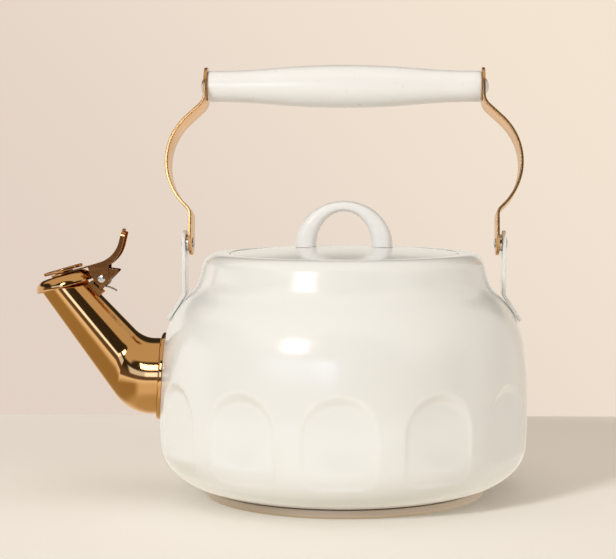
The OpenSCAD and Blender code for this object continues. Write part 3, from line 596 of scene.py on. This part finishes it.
# %% Panels pressed
def grown(mesh, tree, inputs, name):
    """Run a geometry tree on a mesh once and keep the result as a plain mesh."""
    blank = bpy.data.objects.new(name + "_blank", mesh)
    scene.collection.objects.link(blank)
    modifier = blank.modifiers.new("rule", "NODES")
    modifier.node_group = tree
    for key, value in inputs.items():
        modifier[key] = value
    seen = blank.evaluated_get(bpy.context.evaluated_depsgraph_get())
    made = bpy.data.meshes.new_from_object(seen)
    made.name = name
    blank.modifiers.clear()
    bpy.data.objects.remove(blank)
    return made


panel_sizes = {"Places": float(places), "Width": 36.6 * MM, "Foot": 18.5 * MM, "Crown": 61.0 * MM,
               "Corner": 8.0 * MM, "Run out": 40.0 * MM, "Depth": 2.2 * MM, "Slope": 2.0 * MM,
               "Enamel": enamel}
body_mesh = grown(body_mesh, panel_rule, {panel_sockets[k]: v for k, v in panel_sizes.items()}, "body")
print("body faces:", len(body_mesh.polygons))

# %% Spout hole
spout_z, foot_d = 60.48, 40.6
drill_mesh = turned("drill", [(0, -30), (foot_d / 2 + 0.1, -30), (foot_d / 2 + 0.1, 30), (0, 30)],
                    Matrix.Translation((-body_r, 0, spout_z)) @ Matrix.Rotation(pi / 2, 4, "Y"))
drill = bpy.data.objects.new("drill", drill_mesh)
blank = bpy.data.objects.new("body_blank", body_mesh)
for item in (drill, blank):
    scene.collection.objects.link(item)
cut = blank.modifiers.new("hole", "BOOLEAN")
cut.object = drill
cut.operation = "DIFFERENCE"
cut.solver = "EXACT"
body_mesh = bpy.data.meshes.new_from_object(blank.evaluated_get(bpy.context.evaluated_depsgraph_get()))
blank.modifiers.clear()
for item in (drill, blank):
    bpy.data.objects.remove(item)
shade(body_mesh, 50)
body_mesh.name = "body"
piece_of(body_mesh, "body", "kettle", "enamel", "body_shell")

# %% [markdown]
# ## Base
# A bare steel disc is pressed over the underside and takes the heat. It is turned, with a rounded
# lower edge and the fine rings of the lathe.

# %% Base disc
base_r, underside_top = 73.75, 30
underside = [point for point in outer_side if point[1] <= underside_top]
meet = min(range(len(underside)), key=lambda i: abs(underside[i][0] - base_r))
base_top = [(r, h - 0.1) for r, h in outer_side[1:meet + 1]]
base_profile = [(0, 0)] + eased([(60, 0, 0), (base_r, 0, 1.5), (base_r, base_top[-1][1] - 0.1, 0.25),
                                 (base_top[-1][0] - 0.3, base_top[-1][1] - 0.15, 0)], step=12)
base_profile += base_top[-2::-1] + [(0, base_lift - 0.1)]
piece_of(turned("base", base_profile, count=160), "base", "kettle", "base_steel", "base_disc")

# %% [markdown]
# ## Spout
# The spout is drawn from sheet copper: wide where it leaves the body, bent upwards and narrowed to the
# mouth. Two edge curves in the middle plane, the heel and the crook, carry oval sections between
# them, and the same sections a sheet's thickness inside make it a tube with a rolled lip.

# %% Spout edges
tilt = 16.0
cap_at = Vector((-(body_r + 49.6), 107.1))


def from_cap(u, v):
    return cap_at + u * dir2(tilt) + v * left2(tilt)


lip_low, lip_high = from_cap(-13.25, 2.2), from_cap(11.25, 2.2)
heel = Vector((-(body_r + 16.6), spout_z - foot_d / 2))
crook = Vector((-(body_r + 8.8), spout_z + foot_d / 2))


def spout_edge(vertex, lip, r, bend_steps=26, neck_steps=12):
    turn = degrees(atan2(lip.y - vertex.y, vertex.x - lip.x))
    bend_c = vertex + Vector((r * tan(radians(turn / 2)), r))
    bend = []
    for a in [turn * i / bend_steps for i in range(bend_steps + 1)]:
        bend.append((bend_c - r * Vector((dir2(a).y, dir2(a).x)), a))
    start = Vector((-(body_r - 5.0), vertex.y))
    foot = [(start.lerp(bend[0][0], i / 3), 0.0) for i in range(3)]
    return foot + bend + [(bend[-1][0].lerp(lip, i / neck_steps), turn) for i in range(1, neck_steps + 1)]


def spout_ring(low, high, inset, count=96):
    rise = high[0] - low[0]
    half, up = rise.length / 2, rise.normalized()
    heading = radians(180 - (low[1] + high[1]) / 2)
    broad = half * abs(up.x * sin(heading) - up.y * cos(heading))
    middle = (low[0] + high[0]) / 2
    ring = []
    for k in range(count):
        a = 2 * pi * k / count
        p = middle + (half - inset) * cos(a) * up
        ring.append((p.x, (broad - inset) * sin(a), p.y))
    return ring


# %% Spout tube
low_edge, high_edge = spout_edge(heel, lip_low, 25.0), spout_edge(crook, lip_high, 14.0)
stations = list(zip(low_edge, high_edge))
outside = [spout_ring(a, b, 0) for a, b in stations]
inside_rings = [spout_ring(a, b, 1.2) for a, b in stations]
lip = [spout_ring(*stations[-1], 0.2), spout_ring(*stations[-1], 1.0)]
spout_mesh = outward(mesh_of_rings("spout", outside + lip + inside_rings[::-1], loops=True))
shade(spout_mesh)
piece_of(spout_mesh, "spout", "kettle", "copper", "spout_tube")


# %% Spout collar
def belly_radius(h):
    if h < shoulder_c.y + shoulder_r * dir2(side_high).y:
        return side_c.x + sqrt(side_r ** 2 - (h - side_c.y) ** 2)
    return shoulder_c.x + sqrt(shoulder_r ** 2 - (h - shoulder_c.y) ** 2)


collar_in, collar_out, collar_low, collar_high, collar_count = 20.4, 23.25, 0.1, 2.1, 144
collar_section = eased([(collar_in, collar_low, 0.1), (collar_out, collar_low, 0.2),
                        (collar_out, collar_high, 0.8), (collar_in, collar_high, 0.3)], closed=True)
collar_rings = []
for k in range(collar_count):
    a = 2 * pi * k / collar_count
    ring = []
    for reach, stand in collar_section:
        across_y, h = reach * sin(a), spout_z + reach * cos(a)
        ring.append((-sqrt(belly_radius(h) ** 2 - across_y ** 2) - stand, across_y, h))
    collar_rings.append(ring)
collar_mesh = outward(mesh_of_rings("collar", collar_rings, loops=True))
shade(collar_mesh)
piece_of(collar_mesh, "collar", "kettle", "copper", "spout_collar")

# %% [markdown]
# ## Flap
# A pressed cap closes the mouth, with the whistle's plate on top. A bent lever is riveted between them
# and turns on an eyelet pin in the bracket's two ears. Cap and plate are turned, and the plate has a
# rolled rim. The lever and the bracket are flat sheet, so a merged copy of each CAD solid gets its
# edges broken by a small bevel.

# %% Cap
cap_place = Matrix.Translation((cap_at.x, 0, cap_at.y)) @ Matrix.Rotation(-radians(tilt), 4, "Y")
cap_r, cap_low, cap_top, cap_edge_r, sheet = 15.5, 1.0, 7.2, 5.8, 0.9
edge_c = (cap_r - cap_edge_r, cap_top - cap_edge_r)
stem_r = 2.45
cap_profile = [(stem_r, cap_top)] + arc(edge_c, cap_edge_r, 90, 0, 14)
cap_profile += eased([(cap_r, cap_top - cap_edge_r, 0), (cap_r, cap_low, 0.3), (cap_r - sheet, cap_low, 0.3),
                      (cap_r - sheet, cap_top - cap_edge_r, 0)])[1:]
cap_profile += arc(edge_c, cap_edge_r - sheet, 0, 90, 8)[1:] + [(stem_r, cap_top - sheet)]
cap_mesh = turned("cap", cap_profile, cap_place, loops=True)
piece_of(cap_mesh, "cap", "flap", "copper", "flap_cap")


# %% Whistle plate
whistle_shift, hole_r, pillar_r, stem_low, hub_low = 1.2, 1.2, 2.4, 3.8, 8.2
hub_r, disc_low, rim_low, rim_top, rim_in = 4.9, 9.3, 8.7, 10.3, 9.3
disc_top, rim_out = 10.05, 10.4
plate_place = cap_place @ Matrix.Translation((whistle_shift, 0, 0))
plate_profile = eased([(hole_r, stem_low, 0.1), (pillar_r, stem_low, 0.2), (pillar_r, hub_low, 0),
                       (hub_r, hub_low, 0.2), (hub_r, disc_low, 0.2), (rim_in, disc_low, 0.25),
                       (rim_in, rim_low, 0.2),
                       (rim_out, rim_low, 0.45), (rim_out, rim_top, 0.45), (9.5, rim_top, 0.3),
                       (9.2, disc_top, 0.3), (hole_r, disc_top, 0.3)], closed=True)
plate_mesh = turned("whistle_plate", plate_profile, plate_place, loops=True)
piece_of(plate_mesh, "whistle_plate", "flap", "copper", "whistle_upper_plate", material=satin_copper)


# %% Sheet pieces with broken edges
def broken_edges(node, name, body, slot, width, crease=32, material=None):
    """A merged copy of a CAD solid with its edges beveled."""
    work = bmesh.new()
    work.from_mesh(frame["nodes"][node].data)
    bmesh.ops.remove_doubles(work, verts=work.verts, dist=2e-6)
    bmesh.ops.dissolve_degenerate(work, edges=work.edges, dist=1e-6)
    bmesh.ops.dissolve_limit(work, angle_limit=radians(0.6), verts=work.verts, edges=work.edges)
    mesh = bpy.data.meshes.new(name)
    work.to_mesh(mesh)
    work.free()
    piece = piece_of(mesh, name, body, slot, node, material=material)
    shade(mesh, crease)
    bevel = piece.modifiers.new("broken_edge", "BEVEL")
    bevel.width = width * MM
    bevel.segments = 2
    bevel.limit_method = "ANGLE"
    bevel.angle_limit = radians(crease)
    bevel.harden_normals = True
    return piece


broken_edges("flap_lever", "lever", "flap", "copper", 0.18, material=satin_copper)
broken_edges("flap_bracket", "hinge_bracket", "kettle", "copper", 0.15, material=satin_copper)
broken_edges("flap_pin", "hinge_pin", "kettle", "steel", 0.08)

# %% [markdown]
# ## Return spring
# A torsion spring shuts the flap: three turns of wire round the pin, a tail against the spout and a
# leg under the lever. Its path is a row of points, and a Geometry Nodes tree lays a round wire along
# it. The wire is joined to no body.

# %% Spring path
pin_at = from_cap(20.3, -0.5)
lever_half, ear_t, move_gap = 5.9, 1.0, 0.3
wire_r, coil_r = 0.45, 3.9
coil_half = lever_half - sheet - move_gap - ear_t - wire_r - 2 * move_gap
leg_leave, turns_of_wire, tail_steps, coil_steps = 136.0, 3, 12, 120
coil_sweep = 360.0 * turns_of_wire + 270 - leg_leave
tail_tip, tail_bend, tail_foot = Vector((7.6, -6.4)), Vector((coil_r, -coil_r)), Vector((0, -coil_r))
tail = []
for s in [i / tail_steps for i in range(tail_steps)]:
    p = (1 - s) ** 2 * tail_tip + 2 * s * (1 - s) * tail_bend + s * s * tail_foot
    tail.append((p.x, -coil_half, p.y))
coil = []
for s in [i / coil_steps for i in range(coil_steps + 1)]:
    p = coil_r * dir2(-90 - coil_sweep * s)
    coil.append((p.x, (2 * s - 1) * coil_half, p.y))
leg_way = dir2(leg_leave)
leg = [(coil[-1][0] + s * leg_way.y, coil_half, coil[-1][2] - s * leg_way.x) for s in (2.3, 4.6, 7.0)]
wire_path = [Vector((pin_at.x + px, py, pin_at.y + pz)) * MM for px, py, pz in tail + coil + leg]
wire_mesh = bpy.data.meshes.new("wire_path")
wire_mesh.from_pydata(wire_path, [(i, i + 1) for i in range(len(wire_path) - 1)], [])
print("spring path points:", len(wire_path))

# %% Wire tree
wire_rule, wire_sockets, given = geometry_tree("round_wire", ("Wire radius", "Float"), ("Metal", "Material"))
run = add_node(wire_rule, "GeometryNodeMeshToCurve", {"Mesh": given["Geometry"]}).outputs[0]
ring = add_node(wire_rule, "GeometryNodeCurvePrimitiveCircle",
                {"Resolution": 12, "Radius": given["Wire radius"]}).outputs[0]
wire = add_node(wire_rule, "GeometryNodeCurveToMesh",
                {"Curve": run, "Profile Curve": ring, "Fill Caps": True}).outputs[0]
close_tree(wire_rule, wire, given["Metal"])
wire_inputs = {wire_sockets["Wire radius"]: wire_r * MM, wire_sockets["Metal"]: spring_steel}
spring_mesh = grown(wire_mesh, wire_rule, wire_inputs, "spring")
outward(spring_mesh)
shade(spring_mesh)
spring = piece_of(spring_mesh, "return_spring", None, "steel", "flap_spring", material=spring_steel)
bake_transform(spring)

# %% [markdown]
# ## Bent strips
# Lugs and straps are flat bar bent in one plane. A strip is a path in that plane with a rounded bar
# section drawn along it, and its round ends come from narrowing the section over the last stretch.

# %% Strip helper
def strip(name, path, half_widths, thickness, edge, mirror=False, place=Matrix()):
    rings = []
    for i, p in enumerate(path):
        ahead, back = Vector(path[min(i + 1, len(path) - 1)]), Vector(path[max(i - 1, 0)])
        along = (ahead - back).normalized()
        out = Vector((along.y, -along.x))
        half_w = max(half_widths[i], 0.02)
        r = min(edge, thickness * 0.45, half_w * 0.9)
        half_t = thickness / 2
        section = eased([(half_t, half_w, r), (-half_t, half_w, r), (-half_t, -half_w, r),
                         (half_t, -half_w, r)], closed=True, step=30)
        ring = [place @ Vector((p[0] + out.x * n, w, p[1] + out.y * n)) for n, w in section]
        rings.append([(-q.x, q.y, q.z) if mirror else tuple(q) for q in ring])
    mesh = outward(mesh_of_rings(name, rings))
    shade(mesh)
    return mesh


def along_path(corners, spacing):
    """Even points along a polyline, with its own corners kept."""
    points = [Vector(corners[0])]
    for a, b in zip(corners, corners[1:]):
        a, b = Vector(a), Vector(b)
        count = max(1, ceil((b - a).length / spacing))
        points += [a.lerp(b, i / count) for i in range(1, count + 1)]
    return points


def round_end(distance, half_w):
    """Half width of a bar at a distance from its half-round end."""
    if distance >= half_w:
        return half_w
    return sqrt(max(half_w ** 2 - (half_w - distance) ** 2, 0))


def run_lengths(path):
    lengths = [0.0]
    for a, b in zip(path, path[1:]):
        lengths.append(lengths[-1] + (Vector(b) - Vector(a)).length)
    return lengths


# %% Lugs
pivot_z = 131.0
leg_x, strap_t, spacer_t, lug_t, lug_w = body_r - 16.6, 1.6, 1.2, 1.9, 13.0
lug_x = leg_x + strap_t / 2 + 0.3 + spacer_t + 0.1
lug_seat, lug_foot = 33.0, 7.0
lug_at = shoulder_c + (shoulder_r + 0.1) * dir2(lug_seat)
bend_r = 1.5
bend_out = lug_t + bend_r
slip = (lug_at.x + bend_out * dir2(lug_seat).x - lug_x - bend_out) / dir2(lug_seat).y
lug_bend_c = lug_at + bend_out * dir2(lug_seat) + slip * left2(lug_seat)
lug_low = lug_at + lug_t / 2 * dir2(lug_seat) - lug_foot * left2(lug_seat)
lug_corners = [lug_low] + arc(lug_bend_c, bend_r + lug_t / 2, 180 + lug_seat, 180, 8)
lug_corners += [(lug_x + lug_t / 2, pivot_z)]
tip_steps = [lug_w / 2 * sin(pi / 2 * i / 14) for i in range(1, 15)]
lug_path = along_path(lug_corners, 2.0) + [Vector((lug_x + lug_t / 2, pivot_z + s)) for s in tip_steps]
lug_run = run_lengths(lug_path)
lug_halves = [round_end(lug_run[-1] - d, lug_w / 2) * min(1, 0.8 + d / 2) for d in lug_run]
for side, flip in (("left", True), ("right", False)):
    mesh = strip(side + "_lug_bar", lug_path, lug_halves, lug_t, 0.5, flip)
    piece_of(mesh, side + "_lug_bar", "kettle", "enamel", side + "_lug")

# %% Straps
bail_lean = 10.0
bail_place = Matrix.Translation((0, 0, pivot_z)) @ Matrix.Rotation(-radians(bail_lean), 4, "X")
strap_w, bow_r, grip_arm, strap_foot, strap_in, plate_low = 20.0, 32.0, 83.2, 6.5, 7.0, 5.6
plate_x = leg_x - strap_in
bow_out, top_turn, top_r, foot_turn, foot_r = 12.6, 47, 8.0, 45, 5.0
top_way, foot_way = dir2(top_turn), dir2(foot_turn)
bow_c_x = leg_x + bow_out - bow_r
top_slope = (bow_c_x + bow_r * top_way.x - plate_x - top_r * (1 - top_way.x)) / tan(radians(top_turn))
top_c = Vector((plate_x + top_r, grip_arm - plate_low))
bow_c = Vector((bow_c_x, top_c.y - top_r * top_way.y - top_slope - bow_r * top_way.y))
foot_slope = (bow_c_x + bow_r * foot_way.x - leg_x - foot_r * (1 - foot_way.x)) / tan(radians(foot_turn))
foot_c = Vector((leg_x + foot_r, bow_c.y - bow_r * foot_way.y - foot_slope - foot_r * foot_way.y))
strap_corners = [(leg_x, strap_w / 2 - strap_foot)] + arc(foot_c, foot_r, 180, 180 - foot_turn, 10)
strap_corners += arc(bow_c, bow_r, -foot_turn, top_turn, 40) + arc(top_c, top_r, 180 + top_turn, 180, 12)
strap_corners += [(plate_x, grip_arm)]
tip_steps = [strap_w / 2 * sin(pi / 2 * i / 18) for i in range(1, 19)]
strap_path = [Vector((leg_x, strap_w / 2 - strap_foot - s)) for s in tip_steps[::-1]]
strap_path += along_path(strap_corners, 2.0) + [Vector((plate_x, grip_arm + s)) for s in tip_steps]
strap_run = run_lengths(strap_path)
strap_halves = [min(round_end(d, strap_w / 2), round_end(strap_run[-1] - d, strap_w / 2)) for d in strap_run]
for side, flip in (("left", True), ("right", False)):
    mesh = strip(side + "_strap_bar", strap_path, strap_halves, strap_t, 0.35, flip, bail_place)
    piece_of(mesh, side + "_strap_bar", "bail", "copper", side + "_strap", material=bar_copper)
print("strap length", round(strap_run[-1], 1), "mm")

# %% [markdown]
# ## Grip
# The grip is turned, with a long swell for the palm that runs out through a hollow into each end.

# %% Grip
grip_half = plate_x - strap_t / 2 - 0.1
grip_d, grip_end_d, end_l, swell_share = 22.6, 16.4, 5.0, 0.58
insert_r, insert_l = 3.45, 14.2
swell_l = grip_half - end_l
turn = 2 * degrees(atan((grip_d - grip_end_d) / 2 / swell_l))
swell_r, hollow_r = swell_l * swell_share / dir2(turn).y, swell_l * (1 - swell_share) / dir2(turn).y
swell_c = Vector((grip_d / 2 - swell_r, 0))
hollow_c = swell_c + (swell_r + hollow_r) * dir2(turn)
half_grip = arc(swell_c, swell_r, 0, turn, 24) + arc(hollow_c, hollow_r, 180 + turn, 180, 18)[1:]
half_grip += eased([(grip_end_d / 2, grip_half - end_l, 0), (grip_end_d / 2, grip_half, 0.9),
                    (insert_r, grip_half, 0.2), (insert_r, grip_half - insert_l, 0)], step=12)[1:]
grip_profile = [(r, -h) for r, h in half_grip[::-1]] + half_grip[1:]
grip_profile = [(0, insert_l - grip_half)] + grip_profile + [(0, grip_half - insert_l)]
grip_place = bail_place @ Matrix.Translation((0, 0, grip_arm)) @ Matrix.Rotation(pi / 2, 4, "Y")
piece_of(turned("grip_handle", grip_profile, grip_place), "grip_handle", "bail", "handle_white", "grip")

# %% [markdown]
# ## Rivets and screws
# Fasteners repeat: a rivet at each pivot and a screw at each end of the grip. One of each is turned,
# and a Geometry Nodes tree puts it on points that carry the direction of their axis.

# %% Head tree
def dome_profile(r, h):
    edge = 0.2
    ball = (r * r + (h - edge) ** 2) / (2 * (h - edge))
    first = degrees(asin((ball - h + edge) / ball))
    return [(0, 0), (r, 0), (r, edge * 0.6)] + arc((0, h - ball), ball, first, 90, 10)


head_rule, head_sockets, given = geometry_tree("domed_heads", ("Dome", "Object"), ("Metal", "Material"))
axis = add_node(head_rule, "GeometryNodeInputNamedAttribute", {"Name": "axis"},
                data_type="FLOAT_VECTOR").outputs[0]
upright = add_node(head_rule, "FunctionNodeAlignRotationToVector", {"Vector": axis}, axis="Z").outputs[0]
shape = add_node(head_rule, "GeometryNodeObjectInfo", {"Object": given["Dome"]}).outputs["Geometry"]
points = add_node(head_rule, "GeometryNodeMeshToPoints", {"Mesh": given["Geometry"]}).outputs[0]
heads = add_node(head_rule, "GeometryNodeInstanceOnPoints",
                 {"Points": points, "Instance": shape, "Rotation": upright}).outputs[0]
close_tree(head_rule, heads, given["Metal"])


def domed_heads(name, spots, profile, body, *nodes):
    dome_mesh = turned(name + "_one", profile, count=40)
    dome = bpy.data.objects.new(name + "_one", dome_mesh)
    mesh = bpy.data.meshes.new(name + "_spots")
    mesh.from_pydata([Vector(p) * MM for p, a in spots], [], [])
    way = mesh.attributes.new("axis", "FLOAT_VECTOR", "POINT")
    for i, (p, a) in enumerate(spots):
        way.data[i].vector = a
    scene.collection.objects.link(dome)
    made = grown(mesh, head_rule, {head_sockets["Dome"]: dome, head_sockets["Metal"]: steel}, name)
    bpy.data.objects.remove(dome)
    shade(made)
    return piece_of(made, name, body, "steel", *nodes)


# %% Pivot rivets and grip screws
rivet_in, rivet_out = leg_x - strap_t / 2 - 0.3, lug_x + lug_t + 0.1
shank_r, screw_l = 2.0, 12
rivet_tail = [(r, rivet_in - rivet_out - h) for r, h in dome_profile(2.8, 0.9)[:0:-1]]
rivet_profile = rivet_tail + [(shank_r, rivet_in - rivet_out), (shank_r, 0.0)] + dome_profile(3.3, 1.1)[1:]
rivet_spots = [((s * rivet_out, 0, pivot_z), (s, 0, 0)) for s in (-1, 1)]
domed_heads("pivot_rivets", rivet_spots, rivet_profile, "kettle", "left_pivot_rivet", "right_pivot_rivet")
screw_seat = plate_x + strap_t / 2 + 0.05
screw_profile = [(0, -screw_l), (shank_r, -screw_l), (shank_r, 0)] + dome_profile(4.7, 2.2)[1:]
screw_spots = []
for s in (-1, 1):
    spot_at = bail_place @ Vector((s * screw_seat, 0, grip_arm))
    screw_spots.append((tuple(spot_at), (s, 0, 0)))
domed_heads("grip_screws", screw_spots, screw_profile, "bail", "left_grip_screw", "right_grip_screw")
for side in ("left", "right"):
    broken_edges(side + "_spacer_washer", side + "_washer", "kettle", "steel", 0.15)

# %% [markdown]
# ## Lid
# The lid lies in the rim's seat, nearly flush and slightly domed, with a skirt that keeps it from
# sliding. Its arch handle is wide at the feet and thin at the crown: oval sections between an outer
# and an inner half ellipse.

# %% Lid
lid_r, lid_foot, lid_edge_top, lid_dome = seat_r - 0.5, 123.3, 125.7, 3.6
lid_top = lid_edge_top + lid_dome
dome_ball = (lid_r ** 2 + lid_dome ** 2) / (2 * lid_dome)


def lid_height(r, under=0.0):
    return lid_top - dome_ball + sqrt((dome_ball - under) ** 2 - r * r)


skirt_r, skirt_h, lid_t, lid_steps = mouth_r - 0.8, 9, 1.2, 20
round_at, hem_r, skirt_in = lid_r * 19.2 / lid_steps, lid_r - lid_t, skirt_r - lid_t
lid_profile = [(lid_r * i / lid_steps, lid_height(lid_r * i / lid_steps)) for i in range(lid_steps)]
lid_profile += eased([(round_at, lid_height(round_at), 0), (lid_r, lid_edge_top, 0.9), (lid_r, lid_foot, 0.3),
                      (hem_r, lid_foot, 0.3), (hem_r, lid_height(hem_r, lid_t), 0)], step=10)
lid_profile += eased([(skirt_r, lid_height(skirt_r, lid_t), 0), (skirt_r, lid_foot - skirt_h, 0.4),
                      (skirt_in, lid_foot - skirt_h, 0.4), (skirt_in, lid_height(skirt_in, lid_t), 0)])
lid_profile += [(skirt_in * i / 8, lid_height(skirt_in * i / 8, lid_t)) for i in range(7, -1, -1)]
piece_of(turned("lid_cover", lid_profile, count=160), "lid_cover", "lid", "enamel", "lid")

# %% Lid arch
arch_w, arch_rise, arch_leg, arch_crown, arch_depth = 51.0, 23.6, 11.0, 5.5, 12.4
arch_base = lid_top + 0.1


def soft(v, power=0.75):
    return (1 if v >= 0 else -1) * abs(v) ** power


arch_steps, arch_count, flare_h = 64, 48, 6
arch_rings = []
for i in range(arch_steps + 1):
    a = 180 * i / arch_steps
    outer_p = Vector((arch_w / 2 * dir2(a).x, arch_rise * dir2(a).y))
    inner_p = Vector(((arch_w / 2 - arch_leg) * dir2(a).x, (arch_rise - arch_crown) * dir2(a).y))
    ring = []
    for k in range(arch_count):
        t = 2 * pi * k / arch_count
        p = (outer_p + inner_p) / 2 + soft(cos(t)) * (outer_p - inner_p) / 2
        drop = max(0, 1 - p.y / flare_h) * (lid_top - lid_height(abs(p.x)))
        ring.append((p.x, arch_depth / 2 * soft(sin(t)), arch_base + p.y - drop))
    arch_rings.append(ring)
arch_mesh = outward(mesh_of_rings("lid_arch_handle", arch_rings))
shade(arch_mesh, 60)
piece_of(arch_mesh, "lid_arch_handle", "lid", "handle_white", "lid_arch")

# %% [markdown]
# ## Solids that stay
# A CAD solid whose shape is already right keeps its own mesh and only gets its finish.

# %% Finish for the rest
slots = {item["node"]: item["material_slot"] for item in frame["record"]["subparts"]}
for node, solid in frame["nodes"].items():
    solid.data.materials.clear()
    solid.data.materials.append(finishes[slots[node]])
print("solids with a finish:", len(frame["nodes"]))
